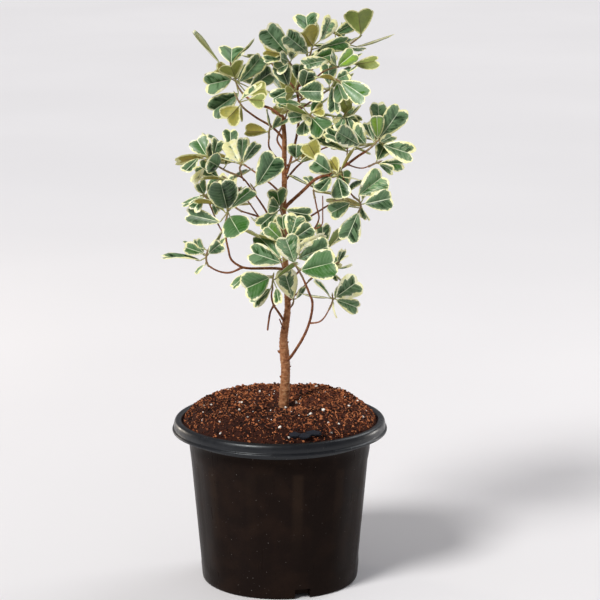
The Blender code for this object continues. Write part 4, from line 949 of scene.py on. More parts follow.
def add_stem(bunch, path, way, seed):
    """The stem of a shoot with its end bud. It starts inside the end of its twig."""
    path = [path[0] - way * 1.6] + path
    line, sizes = smooth_line(path, tapered(STEM_RADIUS, STEM_TIP_RADIUS, len(path)), 1.2)
    for index in range(len(sizes)):
        sizes[index] *= 1.0 + 0.1 * math.sin(index * 1.9 + seed * 40.0)
    tip = (line[-1] - line[-3]).normalized()
    line += [path[-1] + tip * (BUD_LENGTH * far) for far, _size in BUD_RINGS]
    sizes += [STEM_TIP_RADIUS * size for _far, size in BUD_RINGS]
    add_stalk(bunch, line, sizes, STEM_SIDES, 1.0, seed)


def make_spray(shoot, leaves, materials):
    """A stem with its bud, petioles and finished leaves."""
    name = "shoot_" + shoot
    draws = random.Random(name + " fine")
    bunch = Bunch()
    add_stem(bunch, *shoot_line(shoot), draws.random())
    for leaf in leaves:
        form = {key: draws.uniform(*limits) for key, limits in FORM_RANGES.items()}
        look = LOOKS[leaf.look or draws.choice(FAR_LOOKS)]
        seed = draws.random()
        add_petiole(bunch, leaf, seed)
        add_blade(bunch, leaf, form, look, seed)
    piece = bunch.make("spray_" + shoot, materials)
    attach(piece, "root")
    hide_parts(name)


# Finished trunk and twigs
TRUNK_RING_STEP = 0.9
TWIG_RING_STEP = 1.3
FINE_TRUNK_SIDES = 28
FINE_TWIG_SIDES = 10
BUD_SIDES = 8
# Relief as a share of the radius
RING_RELIEF = 0.055
GRAIN_RELIEF = 0.09
FINE_RELIEF = 0.045
KNOT_RELIEF = 0.3
SKIN_SINK = 0.06
# A twig is thickest where it leaves the wood, and slimmer after that
TWIG_SLIMNESS = 0.88
COLLAR_SWELL = 0.55
COLLAR_REACH = 2.2
# Dormant buds on the trunk: right, up, size
BUDS = [(-1, 234, 2.6), (9, 244, 1.6), (-1, 208, 2.0), (10, 219, 1.5), (1, 259, 1.5),
        (10, 297, 1.4), (2, 315, 1.5), (9, 338, 1.4), (1, 387, 1.5), (8, 417, 1.3)]


def rough_tube(bunch, line, sizes, sides, seed, roughness):
    """A stem whose skin has rings, pores and slight knots."""
    points, faces = tube_mesh(line, sizes, sides)
    along = 0.0
    values = []
    for ring, centre in enumerate(line):
        if ring:
            along += (centre - line[ring - 1]).length
        band = math.sin(along * 1.25 + 2.3 * math.sin(along * 0.23 + seed)) ** 8
        for index in range(ring * sides, (ring + 1) * sides):
            spoke = points[index] - centre
            wrap = spoke.normalized() * 1.6 if spoke.length > 1e-6 else Vector()
            grain = noise.noise(wrap * 1.5 + Vector((seed, seed * 3.0, along * 0.55)))
            fine = noise.noise(wrap * 3.0 + Vector((seed * 7.0, 0.0, along * 1.9)))
            knot = max(0.0, noise.noise(Vector((seed * 5.0, 1.0, along * 0.19))) - 0.25)
            push = RING_RELIEF * band + GRAIN_RELIEF * grain + FINE_RELIEF * fine
            push = roughness * (push + KNOT_RELIEF * knot) - SKIN_SINK
            points[index] = centre + spoke * (1.0 + push)
            values.append((sizes[ring], along, band + grain))
    bunch.add(points, faces, 0, bark=values)


def add_bud(bunch, right, up, size):
    """A dormant bud on the trunk: a blunt scale that points up and out."""
    trunk = min(TRUNK, key=lambda point: abs(point[1] - up))
    way = 1.0 if right > trunk[0] else -1.0
    root = seen(trunk[0] + way * (trunk[3] - 0.8), up, 1.0)
    out = Vector((way, -0.35, 0.75)).normalized()
    line = [root + out * size * far for far in (0.0, 0.5, 1.0, 1.35)]
    points, faces = tube_mesh(line, [size * share for share in (0.62, 0.6, 0.36, 0.08)], BUD_SIDES)
    values = [(1.6, index * 0.2, 0.3) for index in range(len(points))]
    bunch.add(points, faces, 0, bark=values)


def make_bark(material):
    """The trunk and its leafless twigs with rings, knots, collars and buds."""
    bunch = Bunch()
    path = [seen(*point[:3]) for point in TRUNK]
    line, sizes = round_end(*smooth_line(path, [point[3] for point in TRUNK], TRUNK_RING_STEP))
    rough_tube(bunch, line, sizes, FINE_TRUNK_SIDES, 0.7, 1.0)
    for number, (first, last, route) in enumerate(TWIGS.values()):
        path = twig_path(route)
        line, sizes = smooth_line(path, tapered(first, last, len(path)), TWIG_RING_STEP)
        collar = 0.0
        for ring in range(len(line)):
            if ring:
                collar += (line[ring] - line[ring - 1]).length
            sizes[ring] *= TWIG_SLIMNESS + COLLAR_SWELL * math.exp(-collar / COLLAR_REACH)
        line, sizes = round_end(line, sizes)
        rough_tube(bunch, line, sizes, FINE_TWIG_SIDES, 1.3 + 0.37 * number, 1.2)
    for bud in BUDS:
        add_bud(bunch, *bud)
    piece = bunch.make("bark_of_trunk_and_branches", [material], 60)
    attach(piece, "root")
    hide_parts("trunk_and_branches")


def ring_mesh(profile, segments, radius_at):
    """A closed turned body: rings of the profile, with each end closed by a point."""
    points = []
    rings = []
    for radius, height in profile:
        if radius == 0:
            rings.append([len(points)])
            points.append(Vector((0, 0, height)))
            continue
        rings.append(list(range(len(points), len(points) + segments)))
        for step in range(segments):
            angle = math.tau * step / segments
            reach = radius_at(radius, height, angle)
            points.append(Vector((reach * math.cos(angle), reach * math.sin(angle), height)))
    faces = []
    for lower, upper in zip(rings, rings[1:]):
        for step in range(segments):
            after = (step + 1) % segments
            if len(lower) == 1:
                faces.append([lower[0], upper[after], upper[step]])
            elif len(upper) == 1:
                faces.append([lower[step], lower[after], upper[0]])
            else:
                faces.append([lower[step], lower[after], upper[after], upper[step]])
    return points, faces


def wall_radius(height):
    share = (height - WALL_FOOT) / (WALL_TOP - WALL_FOOT)
    return WALL_FOOT_RADIUS + (WALL_TOP_RADIUS - WALL_FOOT_RADIUS) * share


# Finished soil
FINE_SOIL_SEGMENTS = 240
FINE_SOIL_RINGS = 72
CRUMB_COUNT = 7000
CRUMB_SIZES = (0.6, 0.75, 0.9, 1.15, 1.6)
PERLITE_COUNT = 60
PERLITE_SIZES = (0.45, 0.95)
FIBRE_COUNT = 300
FIBRE_RADIUS = 0.26
FIBRE_POINTS = 5
FIBRE_SPANS = (4, 11)
FIBRE_BEND = 0.25
RIM_MARGIN = 2.0
COIR, PERLITE, CHIP = 0.0, 1.0, 2.0
# Lines of sight are followed from well before the trunk, by half a millimetre
SIGHT_START = 100.0
SIGHT_STEP = 0.5
SIGHT_STEPS = 400
# The white grains that the photograph shows: right, up, size
SEEN_PERLITE = [(-39, 181, 2.3), (-41, 174, 1.6), (-69, 179, 1.5), (-78, 163, 1.6),
                (-61, 161, 1.6), (-32, 166, 1.8), (0, 155, 2.1), (37, 198, 1.8), (60, 197, 1.6),
                (78, 183, 1.8), (44, 173, 2.3), (31, 169, 2.4), (49, 160, 1.8), (17, 181, 2.0),
                (6, 176, 1.6), (-60, 149, 1.8), (60, 159, 1.5), (84, 166, 1.8), (-20, 193, 1.6),
                (9, 145, 1.6), (-52, 195, 1.3), (52, 150, 1.3), (-9, 173, 1.5), (70, 178, 1.5)]
# The three lumps of the dark chip: right, up, half length
CHIP_LUMPS = [(15, 145, 5.85), (24, 144, 8.45), (34, 147, 8.45)]
CHIP_HALF_DEPTH = 4.4
CHIP_HALF_HEIGHT = 3.2
CHIP_LIFT = 2.4


def rough_soil(across, depth):
    """The heaped surface with its clods and crumbs, which fade out at the rim."""
    share = min(math.hypot(across, depth) / SOIL_EDGE_RADIUS, 1.0)
    heap = SOIL_EDGE_HEIGHT + SOIL_HEAP * (1.0 - share ** SOIL_HEAP_POWER)
    bump = math.sin(across * 0.21 + 1.0) * math.cos(depth * 0.17)
    bump += math.sin(across * 0.09 - depth * 0.13)
    nearness = ((across - TRUNK_FOOT[0]) ** 2 + depth ** 2) / SOIL_DIP_SPREAD
    aside = (across - SOIL_SWELL_PLACE[0]) ** 2 + (depth - SOIL_SWELL_PLACE[1]) ** 2
    swell = SOIL_SWELL * math.exp(-aside / SOIL_SWELL_SPREAD)
    smooth = heap + (SOIL_BUMP * bump + swell) * (1.0 - share ** 8) - SOIL_DIP * math.exp(-nearness)
    spot = Vector((across, depth, 0.0))
    clods = 1.1 * noise.noise(spot * 0.09) + 0.9 * noise.noise(spot * 0.24)
    crumbs = 0.8 * noise.noise(spot * 0.62) + 0.45 * noise.noise(spot * 1.35)
    return smooth + (clods + crumbs) * (1.0 - share ** 10)


def soil_hit(right, up):
    """Where the viewer's line of sight meets the soil, lowered until it does."""
    for step in range(SIGHT_STEPS):
        spot = seen(right, up, SIGHT_START - step * SIGHT_STEP)
        if spot.z <= rough_soil(spot.x, spot.y):
            return spot
    return soil_hit(right, up - 1)


def scatter(draws, share, power):
    """A random place on the soil: a smaller power leaves more of them near the edge."""
    angle = draws.uniform(0, math.tau)
    reach = SOIL_EDGE_RADIUS * share * draws.random() ** power
    return math.cos(angle) * reach, math.sin(angle) * reach


def lump_shape():
    """The twelve corners and twenty faces that every grain starts from."""
    golden = (1.0 + math.sqrt(5.0)) * 0.5
    corners = []
    for first in (-1.0, 1.0):
        for second in (-golden, golden):
            corners += [(0, first, second), (first, second, 0), (second, 0, first)]
    corners = [Vector(corner).normalized() for corner in corners]
    faces = []
    for trio in itertools.combinations(range(12), 3):
        one, two, three = [corners[index] for index in trio]
        if max((one - two).length, (two - three).length, (three - one).length) > 1.2:
            continue
        lit_half = (two - one).cross(three - one).dot(one) < 0
        faces.append([trio[0], trio[2], trio[1]] if lit_half else list(trio))
    return corners, faces


def stretched(corner, stretch):
    return Vector([value * share for value, share in zip(corner, stretch)])


def add_grain(bunch, draws, shape, centre, size, kind, squash):
    """A crumb or grain of its own random form."""
    turn = Vector([draws.uniform(-1, 1) for _axis in range(3)]).normalized()
    angle = draws.uniform(0, math.tau)
    stretch = (1.0, draws.uniform(0.6, 1.0), squash * draws.uniform(0.7, 1.1))
    points = []
    for corner in shape[0]:
        spot = stretched(corner, stretch)
        spot = spot * math.cos(angle) + turn.cross(spot) * math.sin(angle) \
            + turn * turn.dot(spot) * (1.0 - math.cos(angle))
        points.append(centre + spot * (size * draws.uniform(0.6, 1.25)))
    bunch.add(points, shape[1], 0, grain=(kind, draws.random(), 1.0))


def add_fibre(bunch, draws):
    """A thin bent fibre that follows the soil and ends before the rim."""
    x, y = scatter(draws, 0.95, 0.5)
    way = draws.uniform(0, math.tau)
    span = draws.uniform(*FIBRE_SPANS) / (FIBRE_POINTS - 1)
    bend = draws.uniform(-FIBRE_BEND, FIBRE_BEND)
    line = []
    while len(line) < FIBRE_POINTS and math.hypot(x, y) <= SOIL_EDGE_RADIUS - RIM_MARGIN:
        line.append(Vector((x, y, rough_soil(x, y) + 0.35)))
        x += math.cos(way) * span
        y += math.sin(way) * span
        way += bend
    if len(line) > 2:
        points, faces = tube_mesh(line, [FIBRE_RADIUS] * len(line), 3)
        bunch.add(points, faces, 0, grain=(COIR, 0.75 + 0.25 * draws.random(), 1.0))


def add_chip(bunch, draws, shape):
    """A slim dark flake lying on the soil near the front of the rim."""
    for number, (right, up, size) in enumerate(CHIP_LUMPS):
        centre = soil_hit(right, up)
        points = []
        for corner in shape[0]:
            spot = stretched(corner, (size, CHIP_HALF_DEPTH, CHIP_HALF_HEIGHT))
            spot = spot * draws.uniform(0.85, 1.15)
            points.append(centre + spot + Vector((0, 0, CHIP_LIFT)))
        bunch.add(points, shape[1], 0, grain=(CHIP, number * 0.3, 1.0))


def make_fine_soil(material):
    """Coir soil: a crumbled surface with loose crumbs, fibres and white perlite."""
    draws = random.Random("soil")
    bunch = Bunch()
    middle = seen(*TRUNK_FOOT)
    below = [
        (0, CHANNEL_HEIGHT + 2.8),
        (WALL_FOOT_RADIUS - 10.3, CHANNEL_HEIGHT + 2.8),
        (wall_radius(14) - WALL_THICKNESS - 3.0, 14.4),
        (wall_radius(20) - WALL_THICKNESS - FLUTE_DEPTH - 0.5, 20.4),
        (WALL_TOP_RADIUS - WALL_THICKNESS - 0.5, WALL_TOP + 0.1),
        (WALL_TOP_RADIUS - 0.9, WALL_TOP + 6.2),
        (RIM_RADIUS - 13.9, RIM_TOP - 9.1),
        (SOIL_EDGE_RADIUS, SOIL_EDGE_HEIGHT),
    ]
    segments = FINE_SOIL_SEGMENTS
    points, faces = ring_mesh(below, segments, lambda radius, height, angle: radius)
    for step in range(1, FINE_SOIL_RINGS):
        share = 1.0 - (step / FINE_SOIL_RINGS) ** 1.05
        start = len(points)
        for turn in range(segments):
            angle = math.tau * turn / segments
            reach = SOIL_EDGE_RADIUS * share
            x = math.cos(angle) * reach + middle.x * (1.0 - share)
            y = math.sin(angle) * reach
            points.append(Vector((x, y, rough_soil(x, y))))
            here = start + turn
            after = start + (turn + 1) % segments
            faces.append([here - segments, after - segments, after, here])
    faces.append(list(range(len(points) - segments, len(points))))
    bunch.add(points, faces, 0, grain=(COIR, 0.5, 0.0))
    shape = lump_shape()
    for _number in range(CRUMB_COUNT):
        x, y = scatter(draws, 0.99, 0.42)
        size = draws.choice(CRUMB_SIZES) * draws.uniform(0.8, 1.2)
        centre = Vector((x, y, rough_soil(x, y) + size * 0.25))
        add_grain(bunch, draws, shape, centre, size, COIR, 0.75)
    for _number in range(PERLITE_COUNT):
        x, y = scatter(draws, 0.97, 0.5)
        size = draws.uniform(*PERLITE_SIZES)
        centre = Vector((x, y, rough_soil(x, y) + size * 0.3))
        add_grain(bunch, draws, shape, centre, size, PERLITE, 0.85)
    for right, up, size in SEEN_PERLITE:
        centre = soil_hit(right, up) + Vector((0, 0, size * 0.3))
        add_grain(bunch, draws, shape, centre, size, PERLITE, 0.9)
    for _number in range(FIBRE_COUNT):
        add_fibre(bunch, draws)
    add_chip(bunch, draws, shape)
    piece = bunch.make("crumbled_soil", [material], 40)
    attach(piece, "root")
    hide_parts("soil")


# Finished pot: the heights of the wall's rings, and how deep its flutes are there
FINE_POT_SEGMENTS = 168
HOLE_SIDES = 24
HOLE_SPAN = (2.0, 20.0)
NOTCH_BOTTOM = -2.0
WALL_RINGS = [(12, 0), (16, 0), (19, 0.5), (23, 1), (45, 1), (70, 1), (95, 1), (115, 1), (124, 1),
              (129, 0.6), (133, 0.1), (137, 0)]
# Parts of the profile, as reach and height from the named radius and height
FOOT_EDGE = [(-4.7, 0.0), (-1.4, 0.0), (-0.3, 2.6)]
COLLAR = [(-8.9, -4.8), (-6.7, -2.2), (-4.9, -3.8), (-3.6, -7.0)]
LIP = [(-0.3, 0.0), (0.1, 0.8), (-0.2, 2.2), (-2.0, 2.9), (-1.6, 5.0)]
ROLL = [(-2.0, -3.6), (-3.4, -0.8), (-6.4, 0.3), (-9.4, -0.8), (-11.6, -6.0), (-13.3, -9.4)]


def moved(profile, radius, height):
    return [(radius + reach, height + rise) for reach, rise in profile]


def rounded(profile, rounds):
    """Cuts the corners of a profile, once for each round, for a smooth roll."""
    for _round in range(rounds):
        softer = [profile[0]]
        for first, second in zip(profile, profile[1:]):
            for share in (0.75, 0.25):
                softer.append(tuple(one * share + two * (1.0 - share)
                                    for one, two in zip(first, second)))
        profile = softer + [profile[-1]]
    return profile


def make_cutter(shape):
    mesh = bpy.data.meshes.new("cutter")
    mesh.from_pydata([point * MM for point in shape[0]], [], shape[1])
    return show("cutter", mesh)


def box_mesh(angle, depth, width, low, high):
    """A block across the wall at an angle, to cut a notch with."""
    outward = Vector((math.cos(angle), math.sin(angle), 0))
    sideways = Vector((-math.sin(angle), math.cos(angle), 0))
    points = []
    for height in (low, high):
        for reach, aside in ((-1, -1), (1, -1), (1, 1), (-1, 1)):
            spot = outward * (WALL_FOOT_RADIUS + reach * depth * 0.5)
            spot = spot + sideways * (aside * width * 0.5)
            points.append(spot + Vector((0, 0, height)))
    faces = [[3, 2, 1, 0], [4, 5, 6, 7], [0, 1, 5, 4], [1, 2, 6, 5], [2, 3, 7, 6], [3, 0, 4, 7]]
    return points, faces


def cut_away(body, cutters):
    """Takes the cutters out of the body, and removes them."""
    for cutter in cutters:
        cut = body.modifiers.new("cut", "BOOLEAN")
        cut.operation = "DIFFERENCE"
        cut.object = cutter
        cut.solver = "EXACT"
    graph = bpy.context.evaluated_depsgraph_get()
    shaped = bpy.data.meshes.new_from_object(body.evaluated_get(graph))
    body.modifiers.clear()
    body.data = shaped
    shaped.name = body.name
    for cutter in cutters:
        bpy.data.objects.remove(cutter, do_unlink=True)


def make_fine_pot(materials):
    """The nursery pot with a rolled rim, soft upright flutes and drain notches."""
    base = [(0, 0.0), (FLOOR_DISC_RADIUS, 0.0), (FLOOR_DISC_RADIUS + 3.5, CHANNEL_HEIGHT)]
    foot = rounded([(WALL_FOOT_RADIUS - 7.5, CHANNEL_HEIGHT)]
                   + moved(FOOT_EDGE, WALL_FOOT_RADIUS, 0.0)
                   + [(wall_radius(9), 9.0)], 2)
    wall = [(wall_radius(height), height) for height, _share in WALL_RINGS]
    collar = rounded([
        (wall_radius(WALL_TOP - 6.0), WALL_TOP - 6.0),
        (WALL_TOP_RADIUS, WALL_TOP),
        (WALL_TOP_RADIUS + 1.8, WALL_TOP + 6.0),
        (WALL_TOP_RADIUS + 5.2, WALL_TOP + 13.0),
    ] + moved(COLLAR, RIM_RADIUS, RIM_TOP) + [(RIM_RADIUS - 2.6, LIP_BOTTOM)], 1)
    roll = rounded(moved(LIP, RIM_RADIUS, LIP_BOTTOM) + moved(ROLL, RIM_RADIUS, RIM_TOP), 2)
    inside = [
        (WALL_TOP_RADIUS - 0.4, WALL_TOP + 6.0),
        (WALL_TOP_RADIUS - WALL_THICKNESS, WALL_TOP),
        (wall_radius(20) - WALL_THICKNESS - FLUTE_DEPTH, 20.0),
        (wall_radius(14) - WALL_THICKNESS - 2.5, 14.0),
        (WALL_FOOT_RADIUS - 10.0, CHANNEL_HEIGHT + FLOOR_THICKNESS),
        (FLOOR_DISC_RADIUS + 2.5, CHANNEL_HEIGHT + FLOOR_THICKNESS),
        (FLOOR_DISC_RADIUS - 1.5, FLOOR_THICKNESS),
        (0, FLOOR_THICKNESS),
    ]
    depths = {height: FLUTE_DEPTH * share for height, share in WALL_RINGS}

    def outline(radius, height, angle):
        if height in depths and abs(radius - wall_radius(height)) < 0.01:
            wave = math.sin(0.5 * FLUTE_COUNT * (angle - FLUTE_TURN)) ** 2
            return radius - depths[height] * wave
        return radius

    profile = base + foot + wall + collar + roll + inside
    points, faces = ring_mesh(profile, FINE_POT_SEGMENTS, outline)
    bunch = Bunch()
    heights = [max(points[corner].z for corner in face) for face in faces]
    bunch.add(points, faces, [1 if height > WALL_TOP + 6.0 else 0 for height in heights])
    pot = bunch.make("nursery_pot", materials)
    cutters = []
    for number in range(NOTCH_COUNT):
        angle = NOTCH_FIRST_ANGLE + math.tau * number / NOTCH_COUNT
        notch = box_mesh(angle, NOTCH_DEPTH, NOTCH_WIDTH, NOTCH_BOTTOM, NOTCH_HEIGHT)
        spot = Vector((math.cos(angle), math.sin(angle), 0)) * DRAIN_HOLE_CIRCLE
        hole = [spot + Vector((0, 0, height)) for height in HOLE_SPAN]
        hole = tube_mesh(hole, [DRAIN_HOLE_RADIUS] * 2, HOLE_SIDES)
        cutters += [make_cutter(notch), make_cutter(hole)]
    cut_away(pot, cutters)
    pot.data.shade_smooth()
    pot.data.set_sharp_from_angle(angle=math.radians(SHARP_EDGE))
    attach(pot, "root")
    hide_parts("pot")


class Paint:
    """A material whose nodes are written as plain calls."""

    def __init__(self, name, roughness, specular=0.5):
        self.material = bpy.data.materials.new(name)
        self.material.use_nodes = True
        self.tree = self.material.node_tree
        self.surface = self.tree.nodes["Principled BSDF"]
        self.surface.inputs["Roughness"].default_value = roughness
        self.surface.inputs["Specular IOR Level"].default_value = specular

    def put(self, socket, value):
        if isinstance(value, bpy.types.NodeSocket):
            self.tree.links.new(value, socket)
        elif isinstance(value, tuple) and socket.type == "RGBA":
            socket.default_value = (*value, 1.0)
        else:
            socket.default_value = value

    def node(self, kind, **inputs):
        """A new node, with what is given for its sockets, by name."""
        node = self.tree.nodes.new("ShaderNode" + kind)
        for name, value in inputs.items():
            self.put(node.inputs[name], value)
        return node

    def parts(self, vector):
        outputs = self.node("SeparateXYZ", Vector=vector).outputs
        return outputs[0], outputs[1], outputs[2]

    def read(self, name):
        node = self.node("Attribute")
        node.attribute_name = name
        return self.parts(node.outputs["Vector"])

    def place(self):
        """The point in metres, as the object is at rest, and its parts."""
        point = self.node("TexCoord").outputs["Object"]
        return point, self.parts(point)

    def join(self, x, y, z):
        return self.node("CombineXYZ", X=x, Y=y, Z=z).outputs[0]

    def math(self, operation, first, second=0.0, third=0.0):
        node = self.node("Math")
        node.operation = operation
        for socket, given in zip(node.inputs, (first, second, third)):
            self.put(socket, given)
        return node.outputs[0]

    def times(self, first, second):
        return self.math("MULTIPLY", first, second)

    def plus(self, first, second):
        return self.math("ADD", first, second)

    def minus(self, first, second):
        return self.math("SUBTRACT", first, second)

    def scaled(self, value, factor, offset):
        return self.math("MULTIPLY_ADD", value, factor, offset)

    def speckle(self, vector, scale, detail=2.0, roughness=0.5):
        node = self.node("TexNoise", Vector=vector, Scale=scale, Detail=detail, Roughness=roughness)
        return node.outputs["Fac"]

    def step(self, value, low, high, start=0.0, end=1.0):
        """Goes smoothly from start to end as the value goes from low to high."""
        node = self.node("MapRange")
        node.interpolation_type = "SMOOTHSTEP"
        for socket, given in zip(node.inputs, (value, low, high, start, end)):
            self.put(socket, given)
        return node.outputs[0]

    def blend(self, share, first, second):
        node = self.node("Mix")
        node.data_type = "RGBA"
        for index, given in ((0, share), (6, first), (7, second)):
            self.put(node.inputs[index], given)
        return node.outputs[2]

    def ramp(self, value, stops):
        node = self.node("ValToRGB", Fac=value)
        steps = node.color_ramp.elements
        while len(steps) < len(stops):
            steps.new(0.5)
        for element, (place, colour) in zip(steps, stops):
            element.position = place
            element.color = (*colour, 1.0)
        return node.outputs[0]

    def finish(self, colour, roughness=None, height=None, depth=0.0002):
        """Sets the colour, and if given the roughness and a relief that deep in metres."""
        self.put(self.surface.inputs["Base Color"], colour)
        if roughness is not None:
            self.put(self.surface.inputs["Roughness"], roughness)
        if height is not None:
            bump = self.node("Bump", Strength=1.0, Distance=depth, Height=height)
            self.put(self.surface.inputs["Normal"], bump.outputs[0])
        return self.material


# Leaf colours
SEED_SPREAD = 97.0
UPPER_GREENS = [(0.0, (0.001, 0.008, 0.002)), (0.25, (0.007, 0.040, 0.005)),
                (0.55, (0.036, 0.135, 0.016)), (1.0, (0.250, 0.450, 0.040))]
MOTTLED_GREEN = (0.040, 0.110, 0.026)
SILVER_GREEN = (0.165, 0.290, 0.140)
SHEEN_GREEN = (0.170, 0.290, 0.150)
OLIVE = (0.300, 0.270, 0.035)
HALO_GREEN = (0.190, 0.270, 0.150)
CREAMS = [(0.35, (0.960, 0.940, 0.700)), (0.60, (0.900, 0.870, 0.440))]
UPPER_VEIN = (0.330, 0.470, 0.250)
UPPER_RIB = (0.760, 0.820, 0.600)
UPPER_VEIN_PERIOD = 3.6
UNDER_GREENS = [(0.0, (0.190, 0.270, 0.060)), (0.4, (0.310, 0.340, 0.080)),
                (0.7, (0.390, 0.380, 0.080)), (1.0, (0.360, 0.270, 0.035))]
UNDER_MOTTLE = (0.150, 0.190, 0.060)
UNDER_MARGIN = (0.740, 0.720, 0.360)
UNDER_VEIN = (0.120, 0.100, 0.030)
UNDER_RIB = (0.110, 0.075, 0.025)
UNDER_VEIN_PERIOD = 3.1
PETIOLE_TONES = [(0.330, 0.340, 0.110), (0.250, 0.200, 0.070)]
STEM_TONES = [(0.180, 0.095, 0.045), (0.260, 0.200, 0.085)]
BUD_TONES = [(0.180, 0.090, 0.030), (0.260, 0.260, 0.070)]


def vein_lines(paint, across, along, period, width):
    """Side veins that leave the midrib and run up and out, as thin lines."""
    run = paint.scaled(paint.math("ABSOLUTE", across), -0.85, along)
    return paint.step(paint.math("PINGPONG", run, period * 0.5), 0.0, width, 1.0, 0.0)


def add_rib(paint, colour, across, along, half_width, strength, fade, left, tint):
    """The midrib, which fades along the blade to what is left of it."""
    rib = paint.step(paint.math("ABSOLUTE", across), half_width, 0.5, strength, 0.0)
    return paint.blend(paint.times(rib, paint.step(along, *fade, 1.0, left)), colour, tint)


def leaf_place(paint):
    """A blade's own coordinates, its seed's shift, and its distance from a ragged edge."""
    across, along, edge = paint.read("blade")
    seed, margin, broken = paint.read("leaf_seed")
    shift = paint.times(seed, SEED_SPREAD)
    spot = paint.join(across, along, shift)
    into = paint.plus(edge, paint.scaled(paint.speckle(spot, 0.42, 3.0, 0.6), 3.4, -1.7))
    return across, along, edge, seed, margin, broken, shift, spot, into


def leaf_upper():
    paint = Paint("leaf_upper", 0.36, 0.30)
    across, along, edge, seed, margin, broken, shift, spot, into = leaf_place(paint)
    tone, grey, olive = paint.read("leaf_look")
    slant = paint.scaled(paint.math("ABSOLUTE", across), -0.8, along)
    side = paint.math("SIGN", across)
    half = paint.scaled(side, 3.7, shift)
    streak = paint.join(paint.times(across, 0.55), paint.times(slant, 1.3), half)

    green = paint.ramp(tone, UPPER_GREENS)
    mottle = paint.speckle(spot, 0.28, 3.0)
    green = paint.blend(paint.step(mottle, 0.42, 0.7, 0.0, 0.35), green, MOTTLED_GREEN)
    patches = paint.speckle(streak, 0.16, 3.0, 0.6)
    green = paint.blend(paint.times(paint.step(patches, 0.42, 0.54), grey), green, SILVER_GREEN)
    # Painted sheen: one half of each blade, picked by its seed, is painted paler grey-green, as if
    # that half caught the light.
    lit_half = paint.times(side, paint.math("SIGN", paint.minus(seed, 0.5)))
    sheen = paint.step(paint.scaled(mottle, 1.2, lit_half), 0.0, 1.6, 0.0, 0.34)
    green = paint.blend(sheen, green, SHEEN_GREEN)
    green = paint.blend(olive, green, OLIVE)

    broad = paint.step(paint.speckle(streak, 0.11, 1.0), 0.35, 0.7, 0.8, 2.1)
    width = paint.times(paint.times(margin, broad), paint.step(along, 0.0, 12.0, 0.3, 1.0))
    beyond = paint.minus(into, width)
    inside = paint.times(paint.step(beyond, -0.25, 0.35), paint.step(edge, 0.5, 0.85))
    islands = paint.step(paint.speckle(streak, 0.5, 2.0), 0.58, 0.66)
    inside = paint.minus(inside, paint.times(islands, broken))
    paler = paint.blend(paint.step(beyond, 0.4, 2.6, 0.75, 0.0), green, HALO_GREEN)
    colour = paint.blend(inside, paint.ramp(paint.speckle(spot, 0.18, 1.0), CREAMS), paler)
    veins = paint.times(vein_lines(paint, across, along, UPPER_VEIN_PERIOD, 0.22), 0.45)
    colour = paint.blend(veins, colour, UPPER_VEIN)
    colour = add_rib(paint, colour, across, along, 0.18, 0.95, (18.0, 32.0), 0.35, UPPER_RIB)
    relief = paint.scaled(vein_lines(paint, across, along, UPPER_VEIN_PERIOD, 0.5), -0.25, mottle)
    return paint.finish(colour, paint.step(mottle, 0.3, 0.7, 0.27, 0.40), relief, 0.00012)


def leaf_under():
    paint = Paint("leaf_under", 0.55, 0.4)
    across, along, _edge, seed, margin, _broken, _shift, spot, into = leaf_place(paint)
    mottle = paint.speckle(spot, 0.3, 3.0)
    body = paint.ramp(seed, UNDER_GREENS)
    body = paint.blend(paint.step(mottle, 0.4, 0.7, 0.0, 0.4), body, UNDER_MOTTLE)
    colour = paint.blend(paint.step(paint.minus(into, margin), -0.3, 0.6), UNDER_MARGIN, body)
    veins = paint.times(vein_lines(paint, across, along, UNDER_VEIN_PERIOD, 0.18), 0.35)
    colour = paint.blend(veins, colour, UNDER_VEIN)
    colour = add_rib(paint, colour, across, along, 0.2, 0.8, (12.0, 28.0), 0.2, UNDER_RIB)
    relief = paint.scaled(vein_lines(paint, across, along, UNDER_VEIN_PERIOD, 0.5), 0.6, mottle)
    return paint.finish(colour, None, relief, 0.00015)


def leaf_stalk():
    """Petioles are pale green, the stem browner, and its end bud brown."""
    paint = Paint("leaf_stalk", 0.5)
    _across, run, stem = paint.read("blade")
    seed, _margin, _broken = paint.read("leaf_seed")
    point, _parts = paint.place()
    patch = paint.speckle(point, 420.0, 3.0)
    petiole = paint.blend(paint.step(patch, 0.35, 0.7), *PETIOLE_TONES)
    wood = paint.blend(paint.step(patch, 0.35, 0.65), *STEM_TONES)
    bud = paint.blend(paint.step(seed, 0.2, 0.8), *BUD_TONES)
    stalk = paint.blend(paint.step(run, 0.75, 0.9), wood, bud)
    return paint.finish(paint.blend(stem, petiole, stalk), None, patch)


# Bark colours
YOUNG_BARK = [(0.120, 0.035, 0.016), (0.270, 0.096, 0.034)]
OLD_BARK = [(0.30, (0.165, 0.058, 0.022)), (0.50, (0.320, 0.128, 0.052)),
            (0.68, (0.490, 0.250, 0.120))]
RING_SCAR = (0.500, 0.290, 0.150)
BARK_PORE = (0.075, 0.035, 0.022)


def bark_skin():
    paint = Paint("fig_bark", 0.8, 0.3)
    radius, _along, band = paint.read("bark")
    point, _parts = paint.place()
    patch = paint.speckle(point, 260.0, 4.0, 0.6)
    grain = paint.speckle(point, 900.0, 3.0, 0.6)
    young = paint.blend(paint.step(patch, 0.35, 0.65), *YOUNG_BARK)
    colour = paint.blend(paint.step(radius, 1.3, 3.2), young, paint.ramp(patch, OLD_BARK))
    colour = paint.blend(paint.step(band, 0.55, 1.05, 0.0, 0.55), colour, RING_SCAR)
    colour = paint.blend(paint.step(grain, 0.62, 0.72, 0.0, 0.7), colour, BARK_PORE)
    gloss = paint.step(patch, 0.3, 0.7, 0.85, 0.65)
    return paint.finish(colour, gloss, paint.plus(grain, patch), 0.0004)


